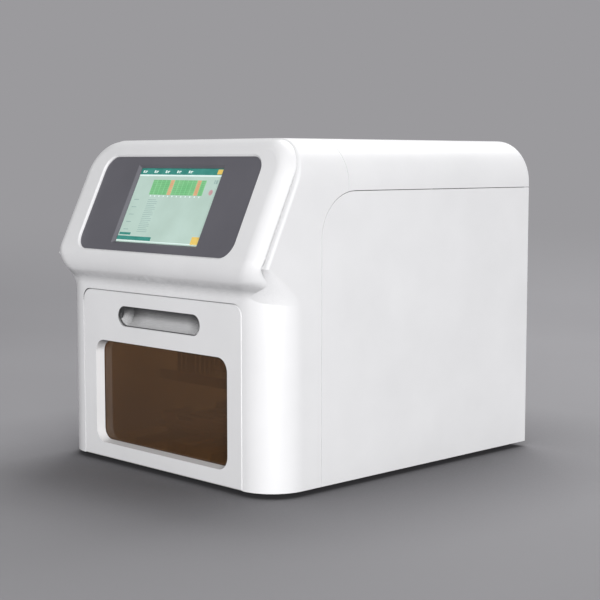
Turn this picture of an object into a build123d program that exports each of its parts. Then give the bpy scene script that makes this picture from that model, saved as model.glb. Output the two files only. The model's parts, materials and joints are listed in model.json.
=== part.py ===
from build123d import *
import os
from math import cos, radians, sin, sqrt, tan

# Millimetres, +Z up, the origin under the middle of the feet. The door faces -Y.

# ------------------------------------------------------------- driving sizes
# Body
BODY_WIDTH = 384.0
BODY_DEPTH = 448.0             # lower front face to the rear edges
BODY_HEIGHT = 385.0            # bottom edge to the top
FOOT_HEIGHT = 6.0
FOOT_RADIUS = 12.0
FOOT_INSET_X = 40.0
FOOT_INSET_Y = 48.0
WALL = 3.0
TOP_EDGE_RADIUS = 52.0
CORNER_RADIUS = 46.0           # upright front corners, below the brow
SEAM = 0.8

# Fascia and brow
BROW_REACH = 16.0              # how far the brow leads the lower front
BROW_DROP = 139.0              # below the top
SLOPE_ANGLE = 25.8             # lean of the fascia from the vertical
CROWN_RADIUS = 30.0            # rounded nose of the brow
SWEEP_RADIUS = 18.0            # hollow under the brow
FASCIA_INSET = 6.0             # fascia sides inside the body sides
FASCIA_DROP = 1.5              # fascia top below the body top
FASCIA_EDGE_RADIUS = 19.0
LIP_SETBACK = 12.6             # body lip behind the fascia, square to it
LIP_RADIUS = 3.5
LIP_FLOW_DROP = 47.5           # height over which the lip melts into the corner
LIP_SECTIONS = 4               # level sections of that melting form
BROW_SECTIONS = 7              # level sections of the brow's two corners
FASCIA_RIM = 15.0              # solid rim inside the fascia's rounded edge

# Covers
PANEL_SETBACK = 77.0           # front seam of the side panels
PANEL_DROP = 58.4              # side panels' top below the body's top
PANEL_CORNER_RADIUS = 52.5
COVER_SETBACK = 119.0          # seam between front shell and top cover

# Door
DOOR_DROP = 41.0               # door's top below the brow
DOOR_TOP_RADIUS = 13.0
DOOR_DEPTH = 18.0
DOOR_EDGE_BREAK = 1.0
HINGE_INSET = 9.0              # hinge axis behind the door's face and above its edge
HINGE_PIN_RADIUS = 2.5
HINGE_KNUCKLE_RADIUS = 6.2
HINGE_MARGIN = 18.0            # inner face of the ear, inside the door's edge
HINGE_EAR = 3.0
HINGE_KNUCKLE_LENGTH = 10.0
HINGE_GAP = 0.6
RIM_WALL = 2.5
LIP_WIDTH = 12.0               # door stop inside the opening
STOP_GAP = 2.0                 # door back to the stop, filled by the seal
SEAL_WIDTH = 5.0
SEAL_HEIGHT = 1.6
MAGNET_LENGTH = 14.0
MAGNET_WIDTH = 4.0
MAGNET_MARGIN = 36.0

WINDOW_MARGIN = 24.5           # from the door's edge
WINDOW_BOTTOM = 18.0           # above the bottom edge
WINDOW_DROP = 61.0             # window's top below the door's top
WINDOW_RADIUS = 16.0
WINDOW_DRAFT = 2.0
WINDOW_RECESS = 11.0
WINDOW_OVERLAP = 7.0
PANE_THICKNESS = 3.0
GASKET_THICKNESS = 0.8
LINER_THICKNESS = 3.0

GRIP_WIDTH = 151.0
GRIP_HEIGHT = 24.3
GRIP_DROP = 29.0               # grip's middle below the door's top
GRIP_SCOOP_RADIUS = 14.5
GRIP_SCOOP_END = 10.0          # length of its drafted ends
GRIP_SCOOP_RISE = 3.0
GRIP_WALL = 1.6

# Control panel and display
CONTROL_MARGIN = 50.5          # from the body's side
CONTROL_HEIGHT = 122.0         # along the slope
CONTROL_RISE = 10.0            # above the brow
CONTROL_RADIUS = 19.0
CONTROL_THICKNESS = 4.0
CONTROL_FLANGE = 6.0
CONTROL_EDGE_BREAK = 1.8
DISPLAY_WIDTH = 151.0
DISPLAY_HEIGHT = 96.0
DISPLAY_BEVEL = 3.0
GLASS_THICKNESS = 1.5
GLASS_BORDER = 8.0
MODULE_THICKNESS = 8.0
BRACKET_WIDTH = 190.0
BRACKET_HEIGHT = 84.0
SHEET = 1.5

# Base, rear panel and what sits on it
PAN_THICKNESS = 2.0
PAN_FLANGE = 16.0
PAN_SETBACK = 22.3             # pan and chamber start behind the door's sweep
FIT_GAP = 0.3
DUCT_LENGTH = 50.0             # air slots in the pan
DUCT_WIDTH = 8.0
DUCT_X = 90.0
DUCT_PITCH = 60.0
REAR_INSET = 4.0
VENT_LENGTH = 44.0
VENT_WIDTH = 3.2
VENT_PITCH = 8.0
VENT_COUNT = 9
VENT_INSET = 97.0              # from the body's side
VENT_DROP = 101.0              # below the top
FAN_SIZE = 80.0
FAN_DEPTH = 25.0
FAN_HOLE_X = 35.75             # fixing holes, from the fan's middle
FAN_BORE_RADIUS = 38.0
FAN_BLADE_RADIUS = 36.6
FAN_HUB_RADIUS = 16.0
FAN_PIN_RADIUS = 2.0
FAN_BLADES = 7
FAN_SIDES = 24                 # facets round the hub and the guard's rings
FAN_PITCH = radians(38)
INLET_INSET = 62.0             # from the body's side
INLET_HEIGHT_UP = 86.0         # above the bottom edge
INLET_WIDTH = 30.0
INLET_HEIGHT = 27.0
INLET_DEPTH = 22.0
SWITCH_SPACING = 42.0          # from the inlet
ROCKER_WIDTH = 13.0
ROCKER_HEIGHT = 22.0
ROCKER_TILT = 9.0
PORTS_DEPTH = 26.0             # sockets, before the rear panel
PORTS_INSET = 92.0             # from the body's side
BOARD_WIDTH = 150.0
BOARD_DEPTH = 96.0
BOARD_THICKNESS = 1.6
STANDOFF_HEIGHT = 8.0
SUPPLY_MARGIN = 11.4           # from the body's side
SUPPLY_CLEARANCE = 8.0         # from the rear panel
SUPPLY_DEPTH = 98.0
SUPPLY_HEIGHT = 38.0

# Chamber
CHAMBER_MARGIN = 4.0           # walls outside the door's edge
CHAMBER_DEPTH = 268.0
CHAMBER_FLOOR = 23.0           # top of the floor plate, from the bench
CHAMBER_CEILING = 247.0
CHAMBER_SHEET = 2.0
CEILING_DEPTH = 172.0
CEILING_FOLD = 12.0            # stiffening fold at the ceiling's rear edge
LAMP_RADIUS = 7.75
LAMP_LENGTH = 212.0
LAMP_DROP = 15.0
LAMP_SETBACK = 28.0
LAMP_SOCKET = 7.0              # depth of each end in its holder
LAMP_WALL = 3.0
LAMP_GAP = 0.05
LAMP_CAP = 12.0                # metal cap at each end of the tube
LAMP_GLASS = 0.5               # tube inside the caps' radius

# Stage
RAIL_WIDTH = 12.0
RAIL_HEIGHT = 8.0
GUIDE_WIDTH = 27.0
GUIDE_LENGTH = 40.0
GUIDE_HEIGHT = 10.0
GUIDE_LIFT = 3.0               # guide block above the rail's seat
STAGE_RAIL_X = 70.0
STAGE_SPARE = 60.0             # rails longer than the stage
STAGE_WIDTH = 210.0
STAGE_DEPTH = 144.0
STAGE_THICKNESS = 6.0
STAGE_FRONT = 76.0             # behind the lower front, at rest
PLATE_WIDTH = 85.5             # well plate, its long side front to back
PLATE_DEPTH = 127.8
PLATE_X = 48.75
NEST_CLEARANCE = 0.5
NEST_WALL = 3.4
NEST_HEIGHT = 12.0
NOTCH_LENGTH = 44.0            # finger notches in the nests' long and short sides
NOTCH_WIDTH = 36.0
NOTCH_HEIGHT = 14.0
NOTCH_CHAMFER = 4.0
HEATER_HEIGHT = 6.0
SCREW_RADIUS = 4.0
SCREW_CLEARANCE = 0.1
SCREW_HOLE = 1.5               # hole in a wall, around the screw
STAGE_SCREW_DROP = 7.0         # screw axis below the stage plate
MOTOR_SIZE = 35.2
MOTOR_LENGTH = 34.0

# Lift and rod head
TOWER_SETBACK = 268.0          # tower plate's front, behind the lower front
TOWER_WIDTH = 140.0
TOWER_THICKNESS = 6.0
TOWER_TOP = 290.0
LIFT_SCREW_FOOT = 26.0         # screw's foot below the carrier
LIFT_SCREW_END = 11.0          # screw's end in the motor, above the tower
LIFT_RAIL_FOOT = 60.0          # rail's foot, from the bench
LIFT_RAIL_STOP = 4.0           # rail's end below the tower's top
BEARING_WIDTH = 30.0
BEARING_HEIGHT = 12.0
BEARING_FRONT = 9.0            # bearing block before the screw's axis
BEARING_DROP = 12.0            # bearing block below the carrier
TOWER_WINDOWS = 3              # cut-outs between the rails
TOWER_WINDOW = 40.0
LIFT_RAIL_X = 42.0
CARRIER_BOTTOM = 95.0
CARRIER_THICKNESS = 6.0
CARRIER_WIDTH = 204.0
CARRIER_FRONT = 84.0           # behind the lower front
CARRIER_BACK_HEIGHT = 105.0
CARRIER_BACK_WIDTH = 124.0
LIFT_MOTOR_SIZE = 42.3
LIFT_MOTOR_LENGTH = 40.0
ROD_RADIUS = 2.5
ROD_SIDES = 8
ROD_PITCH = 9.0
ROD_COUNT = 8
ROD_ROW_SPACING = 54.0
ROD_FIRST_ROW = 98.5           # behind the lower front
ROD_LENGTH = 60.0
ROD_PARK = 2.0                 # rod tips above the shelf when drawn up
ROD_PLATE_THICKNESS = 6.0
ROD_PLATE_WIDTH = 196.0
ROD_GUIDE_RADIUS = 4.0
ROD_GUIDE_X = 90.0
ROD_GUIDE_REACH = 22.0         # shafts' tops above the rod plate's seat
ROD_SCREW_RADIUS = 3.0
ROD_SCREW_SETBACK = 226.0
SLOT_WIDTH = 10.0
SLOT_LENGTH = 76.0

# ------------------------------------------------------------- derived places
HALF_WIDTH = BODY_WIDTH / 2
BROW_HEIGHT = BODY_HEIGHT - BROW_DROP
PANEL_TOP = BODY_HEIGHT - PANEL_DROP
DOOR_TOP = BROW_HEIGHT - DOOR_DROP
GRIP_CENTRE = DOOR_TOP - GRIP_DROP
CONTROL_BOTTOM = BROW_HEIGHT + CONTROL_RISE
CONTROL_WIDTH = BODY_WIDTH - 2 * CONTROL_MARGIN
WINDOW_HEIGHT = DOOR_TOP - WINDOW_DROP - WINDOW_BOTTOM
Y_BROW = -(BODY_DEPTH + BROW_REACH) / 2
Y_FRONT = Y_BROW + BROW_REACH
Y_REAR = Y_FRONT + BODY_DEPTH
Z_EDGE = FOOT_HEIGHT
Z_TOP = Z_EDGE + BODY_HEIGHT
SLOPE = radians(SLOPE_ANGLE)
Y_CROWN = Y_BROW + CROWN_RADIUS
Z_CROWN = Z_EDGE + BROW_HEIGHT
ARC_REACH = CROWN_RADIUS + SWEEP_RADIUS
Y_SWEEP = Y_FRONT - SWEEP_RADIUS
Z_SWEEP = Z_CROWN - sqrt(ARC_REACH**2 - (ARC_REACH - BROW_REACH)**2)
Y_CORNER_BACK = Y_FRONT + CORNER_RADIUS + 4.0
Y_FLOW = Y_FRONT + 2.0                  # where the lip has melted away
Y_COVER_SEAM = Y_FRONT + COVER_SETBACK
Y_DOOR_BACK = Y_FRONT + DOOR_DEPTH
Y_STOP = Y_DOOR_BACK + STOP_GAP
Y_HINGE = Y_FRONT + HINGE_INSET
Z_HINGE = Z_EDGE + HINGE_INSET
DOOR_HALF = HALF_WIDTH - CORNER_RADIUS
WINDOW_WIDTH = 2 * (DOOR_HALF - WINDOW_MARGIN)
HINGE_X = DOOR_HALF - HINGE_MARGIN
MAGNET_X = DOOR_HALF - MAGNET_MARGIN
CHAMBER_HALF_WIDTH = DOOR_HALF + CHAMBER_MARGIN
FAN_X = HALF_WIDTH - VENT_INSET
FAN_Z = Z_TOP - VENT_DROP
VENT_X = -FAN_X
VENT_Z = FAN_Z
INLET_X = INLET_INSET - HALF_WIDTH
INLET_Z = Z_EDGE + INLET_HEIGHT_UP
SWITCH_X = INLET_X + SWITCH_SPACING
PORTS_X = HALF_WIDTH - PORTS_INSET
Z_PAN = Z_EDGE + PAN_THICKNESS
Y_PAN = Y_FRONT + PAN_SETBACK
Y_REAR_PANEL = Y_REAR - REAR_INSET      # outer face of the rear panel
Y_REAR_INNER = Y_REAR_PANEL - SHEET
Z_CONTROL = Z_EDGE + CONTROL_BOTTOM + CONTROL_HEIGHT / 2 * cos(SLOPE)
Y_CHAMBER_BACK = Y_PAN + CHAMBER_DEPTH
Z_STAGE = CHAMBER_FLOOR + GUIDE_LIFT + GUIDE_HEIGHT
Z_STAGE_TOP = Z_STAGE + STAGE_THICKNESS
Z_STAGE_SCREW = Z_STAGE - STAGE_SCREW_DROP
Y_STAGE = Y_FRONT + STAGE_FRONT
Y_STAGE_MIDDLE = Y_STAGE + STAGE_DEPTH / 2
Y_TOWER = Y_FRONT + TOWER_SETBACK
Y_LIFT_RAIL = Y_TOWER - RAIL_HEIGHT
Y_LIFT_PLATE = Y_TOWER - GUIDE_LIFT - GUIDE_HEIGHT    # rear face of the carrier's back plate
Y_LIFT_SCREW = Y_TOWER - GUIDE_LIFT - SCREW_RADIUS + 1.0
Z_CARRIER_TOP = CARRIER_BOTTOM + CARRIER_THICKNESS
Z_CARRIER_BACK = CARRIER_BOTTOM + CARRIER_BACK_HEIGHT
Z_ROD_PLATE = Z_CARRIER_TOP + ROD_PARK + ROD_LENGTH
Y_ROD_ROW = Y_FRONT + ROD_FIRST_ROW
Y_ROD_SCREW = Y_FRONT + ROD_SCREW_SETBACK
Y_ROD_GUIDE = Y_ROD_ROW + ROD_ROW_SPACING / 2


# ------------------------------------------------------------- small helpers
def block(x0, x1, y0, y1, z0, z1):
    """A box between two corners."""
    return Pos((x0 + x1) / 2, (y0 + y1) / 2, (z0 + z1) / 2) * Box(x1 - x0, y1 - y0, z1 - z0)


def front_plane(y):
    """Sketch plane seen from the front: sketch x is X and sketch y is Z."""
    return Plane((0, y, 0), x_dir=(1, 0, 0), z_dir=(0, -1, 0))


def side_plane(x):
    """Sketch plane seen from the right: sketch x is Y and sketch y is Z."""
    return Plane((x, 0, 0), x_dir=(0, 1, 0), z_dir=(1, 0, 0))


def slope_plane(depth):
    """Plane on the fascia at the control panel's middle, sunk square to the slope."""
    middle = (0, slope_y(Z_CONTROL, 0) + depth * cos(SLOPE), Z_CONTROL - depth * sin(SLOPE))
    return Plane(middle, x_dir=(1, 0, 0), z_dir=(0, -cos(SLOPE), sin(SLOPE)))


def sunk(sketch, depth, thickness):
    """A sketch on the fascia, sunk to a depth and extruded further in."""
    return extrude(slope_plane(depth) * sketch, -thickness)


def back_from(y, sketch, thickness):
    """A front sketch extruded towards the rear, starting at y."""
    return extrude(front_plane(y) * sketch, -thickness)


def y_rod(x, z, y0, y1, radius):
    """A round bar along Y."""
    return extrude(front_plane(y1) * Pos(x, z) * Circle(radius), y1 - y0)


def z_rod(x, y, z0, z1, radius):
    """An upright round bar."""
    return Pos(x, y, (z0 + z1) / 2) * Cylinder(radius, z1 - z0)


def z_prism(x, y, z0, z1, radius):
    """A twelve-sided bar along Z."""
    return Pos(x, y, z0) * extrude(RegularPolygon(radius, 12), z1 - z0)


def cut_corners(width, height, cut):
    """A rectangle with its four corners cut off."""
    return chamfer(Rectangle(width, height).vertices(), cut)


def x_rod(y, z, x0, x1, radius):
    """A round bar along X."""
    return extrude(side_plane(x0) * Pos(y, z) * Circle(radius), x1 - x0)


def mirrored(shape):
    """The same shape on the other side of the middle."""
    return mirror(shape, Plane.YZ)


def both_sides(shape):
    """A shape and its mirror image."""
    return Compound([*shape.solids(), *mirrored(shape).solids()])


# ------------------------------------------------------------- body form
def slope_y(z, depth):
    """Y of the fascia's plane at a height, sunk square to the slope by depth."""
    start_y = Y_CROWN - CROWN_RADIUS * cos(SLOPE)
    start_z = Z_CROWN + CROWN_RADIUS * sin(SLOPE)
    return start_y + (z - start_z) * tan(SLOPE) + depth / cos(SLOPE)


def brow_y(z, inset):
    """Y of the brow's S-shaped profile at a height below the slope."""
    crown = CROWN_RADIUS - inset
    sweep = SWEEP_RADIUS + inset
    turn = Z_SWEEP + (Z_CROWN - Z_SWEEP) * sweep / ARC_REACH
    if z <= Z_SWEEP:
        return Y_FRONT + inset
    if z <= turn:
        return Y_SWEEP + sqrt(sweep**2 - (z - Z_SWEEP)**2)
    return Y_CROWN - sqrt(crown**2 - (z - Z_CROWN)**2)


def arch(half, top, bottom, radius, y0, y1):
    """A prism along Y with two rounded upper edges."""
    face = Pos(0, (top + bottom) / 2) * Rectangle(2 * half, top - bottom)
    face = fillet(face.vertices().group_by(Axis.Y)[-1], radius)
    return back_from(y0, face, y1 - y0)


def plan_face(z, y0, half, radius):
    """Level section of the front part, with two rounded front corners."""
    face = Pos(0, (y0 + Y_CORNER_BACK) / 2) * Rectangle(2 * half, Y_CORNER_BACK - y0)
    face = fillet(face.vertices().group_by(Axis.Y)[0], radius)
    return Plane.XY.offset(z) * face


def behind_slope(depth, bottom):
    """Everything behind the sloping plane and above a height."""
    top = Z_TOP + WALL
    rear = Y_REAR + 2 * WALL
    outline = Polyline((slope_y(bottom, depth), bottom), (slope_y(top, depth), top),
                       (rear, top), (rear, bottom), close=True)
    return extrude(side_plane(0) * make_face(outline), BODY_WIDTH, both=True)


def base_of_front(form):
    """Lowest face of a form, cut off behind the upright corners."""
    face = form.faces().sort_by(Axis.Z)[0]
    room = Pos(0, Y_CORNER_BACK - BODY_DEPTH / 2) * Rectangle(2 * BODY_WIDTH, BODY_DEPTH)
    return face & (Plane.XY.offset(face.center().Z) * room)


def slope_rim(form):
    """Edges round the sloping face, without its level lower edge."""
    facing = Axis((0, 0, 0), (0, -cos(SLOPE), sin(SLOPE)))
    return form.faces().sort_by(facing)[-1].edges().sort_by(Axis.Z)[1:]


def brow_profile(inset):
    """Side view of the brow: the hollow sweep under it and its rounded crown, up to the slope."""
    crown = CROWN_RADIUS - inset
    top = Z_CROWN + crown * sin(SLOPE)
    turn_y = Y_SWEEP + (Y_CROWN - Y_SWEEP) * (SWEEP_RADIUS + inset) / ARC_REACH
    turn_z = Z_SWEEP + (Z_CROWN - Z_SWEEP) * (SWEEP_RADIUS + inset) / ARC_REACH
    low_z = (Z_SWEEP + turn_z) / 2
    sweep = ThreePointArc((Y_FRONT + inset, Z_SWEEP), (brow_y(low_z, inset), low_z), (turn_y, turn_z))
    nose = ThreePointArc((turn_y, turn_z), (brow_y(Z_CROWN, inset), Z_CROWN),
                         (Y_CROWN - crown * cos(SLOPE), top))
    back = Polyline((Y_CROWN - crown * cos(SLOPE), top), (Y_CORNER_BACK, top), (Y_CORNER_BACK, Z_SWEEP),
                    (Y_FRONT + inset, Z_SWEEP))
    return make_face(Curve() + [sweep, nose, back])


def fascia_form():
    """Raised fascia, brow and lower front."""
    half = HALF_WIDTH - FASCIA_INSET
    start = Z_CROWN + CROWN_RADIUS * sin(SLOPE)
    upper = arch(half, Z_TOP - FASCIA_DROP, Z_EDGE, TOP_EDGE_RADIUS - FASCIA_INSET, Y_BROW, Y_COVER_SEAM)
    upper = upper & behind_slope(0, start)
    upper = fillet(slope_rim(upper), FASCIA_EDGE_RADIUS)
    sections = []
    for step in range(BROW_SECTIONS):
        share = step / BROW_SECTIONS
        ease = share * share * (3 - 2 * share)
        z = Z_SWEEP + (start - Z_SWEEP) * share
        radius = CORNER_RADIUS - (CORNER_RADIUS - FASCIA_EDGE_RADIUS) * ease
        sections.append(plan_face(z, brow_y(z, 0), HALF_WIDTH - FASCIA_INSET * ease, radius))
    sections.append(base_of_front(upper))
    lower = extrude(plan_face(Z_EDGE, Y_FRONT, HALF_WIDTH, CORNER_RADIUS), Z_SWEEP - Z_EDGE)
    return upper + loft(sections) + lower


def sides_form():
    """The body behind the fascia, with its lip melting into the upright corners."""
    upper = arch(HALF_WIDTH, Z_TOP, Z_EDGE, TOP_EDGE_RADIUS, Y_BROW, Y_REAR)
    upper = upper & behind_slope(LIP_SETBACK, Z_CROWN)
    upper = fillet(slope_rim(upper), LIP_RADIUS)
    sections = []
    for step in range(LIP_SECTIONS):
        share = step / LIP_SECTIONS
        z = Z_CROWN - LIP_FLOW_DROP * (1 - share)
        front = Y_FLOW + (slope_y(Z_CROWN, LIP_SETBACK) - Y_FLOW) * share**2
        radius = CORNER_RADIUS - (CORNER_RADIUS - LIP_RADIUS) * share**1.5
        sections.append(plan_face(z, front, HALF_WIDTH, radius))
    sections.append(base_of_front(upper))
    corner = extrude(plan_face(Z_EDGE, Y_FLOW, HALF_WIDTH, CORNER_RADIUS), Z_CROWN - LIP_FLOW_DROP - Z_EDGE)
    rear = block(-HALF_WIDTH, HALF_WIDTH, Y_CORNER_BACK, Y_REAR, Z_EDGE, Z_CROWN)
    return upper + loft(sections) + corner + rear


def inner_form():
    """Room inside the walls, with plain corners behind the rounded ones."""
    half = HALF_WIDTH - WALL
    start = Z_CROWN + (CROWN_RADIUS - WALL) * sin(SLOPE)
    rim = FASCIA_INSET + FASCIA_RIM
    behind_fascia = arch(HALF_WIDTH - rim, Z_TOP - FASCIA_RIM, Z_EDGE, TOP_EDGE_RADIUS - rim,
                         Y_BROW, Y_COVER_SEAM)
    sides = arch(half, Z_TOP - WALL, Z_EDGE, TOP_EDGE_RADIUS - WALL, Y_BROW, Y_REAR + WALL)
    room = (behind_fascia & behind_slope(WALL, start)) + (sides & behind_slope(LIP_SETBACK + WALL, start))
    brow = extrude(side_plane(0) * brow_profile(WALL), DOOR_HALF, both=True)
    footprint = plan_face(Z_EDGE - WALL, Y_FRONT + WALL, half, CORNER_RADIUS - WALL)
    lower = extrude(footprint, start - Z_EDGE + WALL)
    rear = block(-half, half, Y_CORNER_BACK, Y_REAR + WALL, Z_EDGE - WALL, start)
    return room + brow + lower + rear


def panel_profile(gap):
    """Side view of a side panel, grown by gap."""
    y0 = Y_FRONT + PANEL_SETBACK - gap
    z0 = Z_EDGE - 2 * WALL
    z1 = Z_EDGE + PANEL_TOP + gap
    face = Pos((y0 + Y_REAR + WALL) / 2, (z0 + z1) / 2) * Rectangle(Y_REAR + WALL - y0, z1 - z0)
    corner = face.vertices().sort_by(Axis.X)[:2].sort_by(Axis.Y)[-1]
    return extrude(side_plane(0) * fillet(corner, PANEL_CORNER_RADIUS + gap), BODY_WIDTH, both=True)


# ------------------------------------------------------------- covers
def door_outline(grow, top_grow, bottom):
    """Front view of the door or of a thing round it, from a height up."""
    half = DOOR_HALF + grow
    top = Z_EDGE + DOOR_TOP + top_grow
    face = Pos(0, (top + bottom) / 2) * Rectangle(2 * half, top - bottom)
    return fillet(face.vertices().group_by(Axis.Y)[-1], DOOR_TOP_RADIUS + max(grow, 1 - DOOR_TOP_RADIUS))


def front_shell(skin):
    """Fascia, brow and lower front in one moulding, with the door's frame and stop."""
    ahead = block(-BODY_WIDTH, BODY_WIDTH, Y_BROW - 1, Y_COVER_SEAM - SEAM / 2, Z_EDGE, Z_TOP + 1)
    shell = (skin & ahead) - panel_profile(SEAM)
    opening = door_outline(SEAM / 2, SEAM / 2, Z_EDGE - WALL)
    frame = door_outline(SEAM / 2 + RIM_WALL, SEAM / 2 + RIM_WALL, Z_EDGE)
    stop = door_outline(-LIP_WIDTH, -LIP_WIDTH, Z_EDGE - WALL)
    shell += back_from(Y_FRONT + WALL - 1, frame, Y_STOP + 2 - Y_FRONT - WALL + 1)
    shell -= back_from(Y_FRONT - 1, opening, Y_STOP - Y_FRONT + 1)
    shell -= back_from(Y_FRONT - 1, stop, Y_STOP + 4 - Y_FRONT)
    half = DOOR_HALF + SEAM / 2
    shell -= block(-half, half, Y_FRONT, Y_STOP + 3, 0, Z_HINGE + HINGE_INSET)
    hole = RectangleRounded(CONTROL_WIDTH, CONTROL_HEIGHT, CONTROL_RADIUS)
    shell -= sunk(hole, -4, WALL + 6)
    slope = slope_plane(0)
    rim = [e for e in shell.edges()
           if abs(slope.to_local_coords(e.center()).Z) < 0.2
           and abs(slope.to_local_coords(e.center()).X) < CONTROL_WIDTH / 2 + 1
           and abs(slope.to_local_coords(e.center()).Y) < CONTROL_HEIGHT / 2 + 1]
    return chamfer(rim, CONTROL_EDGE_BREAK)


def top_cover(skin):
    """Cover over the top, between the front shell and the rear."""
    behind = block(-BODY_WIDTH, BODY_WIDTH, Y_COVER_SEAM + SEAM / 2, Y_REAR, Z_EDGE, Z_TOP + 1)
    return (skin & behind) - panel_profile(SEAM)


def side_panel(skin):
    """Right service panel, one wall thick."""
    side = block(HALF_WIDTH - WALL, HALF_WIDTH, Y_FRONT, Y_REAR, Z_EDGE, Z_TOP)
    return skin & panel_profile(0) & side


def base_pan():
    """Folded steel tray with two upturned sides, on which everything stands."""
    half = HALF_WIDTH - WALL - FIT_GAP
    outline = plan_face(Z_EDGE, Y_FRONT + WALL + FIT_GAP, half, CORNER_RADIUS - WALL - FIT_GAP)
    front = extrude(outline, PAN_THICKNESS)
    front &= block(-half, half, Y_PAN, Y_CORNER_BACK, 0, Z_TOP)
    middle = half - PAN_THICKNESS / 2
    level = Z_EDGE + PAN_THICKNESS / 2
    fold = Polyline((-middle, level + PAN_FLANGE), (-middle, level), (middle, level),
                    (middle, level + PAN_FLANGE))
    tray = back_from(Y_CORNER_BACK, trace(fold, PAN_THICKNESS), Y_REAR_INNER - Y_CORNER_BACK)
    pan = front + tray
    for x in (-DUCT_X, DUCT_X):
        for y in (-DUCT_PITCH, 0, DUCT_PITCH):
            duct = extrude(Rectangle(DUCT_LENGTH, DUCT_WIDTH), 3 * PAN_THICKNESS, both=True)
            pan -= Pos(x, y, Z_EDGE) * duct
    return pan


def rubber_feet():
    """Four drafted rubber feet."""
    foot = Cone(FOOT_RADIUS - 1.5, FOOT_RADIUS, FOOT_HEIGHT)
    feet = []
    for x in (-HALF_WIDTH + FOOT_INSET_X, HALF_WIDTH - FOOT_INSET_X):
        for y in (Y_FRONT + FOOT_INSET_Y, Y_REAR - FOOT_INSET_Y):
            feet.append((Pos(x, y, FOOT_HEIGHT / 2) * foot).solid())
    return Compound(feet)


# ------------------------------------------------------------- control panel
def control_panel(core):
    """Dark panel clamped behind the fascia, with a bevelled window for the display."""
    plate = RectangleRounded(CONTROL_WIDTH + 2 * CONTROL_FLANGE, CONTROL_HEIGHT + CONTROL_FLANGE,
                             CONTROL_RADIUS + CONTROL_FLANGE / 2)
    panel = sunk(plate, WALL, CONTROL_THICKNESS) & core
    wide = Rectangle(DISPLAY_WIDTH + 2 * DISPLAY_BEVEL, DISPLAY_HEIGHT + 2 * DISPLAY_BEVEL)
    narrow = Rectangle(DISPLAY_WIDTH, DISPLAY_HEIGHT)
    bevel = loft([slope_plane(WALL) * wide, slope_plane(WALL + DISPLAY_BEVEL) * narrow])
    return panel - bevel - sunk(narrow, WALL + 1, CONTROL_THICKNESS + 1)


def touch_glass():
    """Glass of the touch screen, behind the panel's window."""
    sheet = RectangleRounded(DISPLAY_WIDTH + 2 * GLASS_BORDER, DISPLAY_HEIGHT + GLASS_BORDER, 3)
    return sunk(sheet, WALL + CONTROL_THICKNESS, GLASS_THICKNESS)


def display_module():
    """Display behind its glass, with a raised electronics tray on its back."""
    front = WALL + CONTROL_THICKNESS + GLASS_THICKNESS
    module = sunk(Rectangle(DISPLAY_WIDTH + 12, DISPLAY_HEIGHT + 6), front, MODULE_THICKNESS - 2)
    tray = RectangleRounded(DISPLAY_WIDTH - 30, DISPLAY_HEIGHT - 30, 4)
    return module + sunk(tray, front + MODULE_THICKNESS - 2, 2)


def display_bracket():
    """Folded hat-shaped bracket that clamps the display against the panel."""
    seat = WALL + CONTROL_THICKNESS + SHEET / 2
    back = WALL + CONTROL_THICKNESS + GLASS_THICKNESS + MODULE_THICKNESS + SHEET / 2
    half = BRACKET_WIDTH / 2
    fold = Polyline((-half - 12, -seat), (-half, -seat), (-half, -back), (half, -back), (half, -seat),
                    (half + 12, -seat))
    across = slope_plane(0)
    section = Plane(across.from_local_coords(Vector(0, -BRACKET_HEIGHT / 2, 0)),
                    x_dir=(1, 0, 0), z_dir=(0, -sin(SLOPE), -cos(SLOPE)))
    hat = extrude(section * trace(fold, SHEET), -BRACKET_HEIGHT)
    for x in (-40, 0, 40):
        hat -= sunk(Pos(x, 0) * cut_corners(14, 36, 3), back - 3, 6)
    return hat


# ------------------------------------------------------------- door
def window_outline(grow):
    """Front view of the window, grown on every side."""
    middle = Z_EDGE + WINDOW_BOTTOM + WINDOW_HEIGHT / 2
    return Pos(0, middle) * RectangleRounded(WINDOW_WIDTH + 2 * grow, WINDOW_HEIGHT + 2 * grow,
                                             WINDOW_RADIUS + grow)


def grip_outline(grow):
    """Front view of the finger grip, grown on every side."""
    return Pos(0, Z_EDGE + GRIP_CENTRE) * SlotOverall(GRIP_WIDTH + 2 * grow, GRIP_HEIGHT + 2 * grow)


def grip_scoop():
    """Round-bottomed hollow with drafted ends, reaching up behind the grip slot's upper edge."""
    z = Z_EDGE + GRIP_CENTRE + GRIP_SCOOP_RISE
    half = (GRIP_WIDTH - GRIP_HEIGHT) / 2
    end = Cone(GRIP_SCOOP_RADIUS, GRIP_SCOOP_RADIUS / 2, GRIP_SCOOP_END, rotation=(0, 90, 0))
    end = Pos(half + GRIP_SCOOP_END / 2, Y_FRONT, z) * end
    return x_rod(Y_FRONT, z, -half, half, GRIP_SCOOP_RADIUS) + end + mirrored(end)


def hinge_notches():
    """Room in the door for the two hinge ears over the whole swing."""
    x1 = HINGE_X + HINGE_EAR + HINGE_GAP
    notch = block(HINGE_X - HINGE_GAP, x1, Y_FRONT + WALL, Y_DOOR_BACK + 1, 0, Z_HINGE + 7)
    return notch + mirrored(notch)


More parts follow.
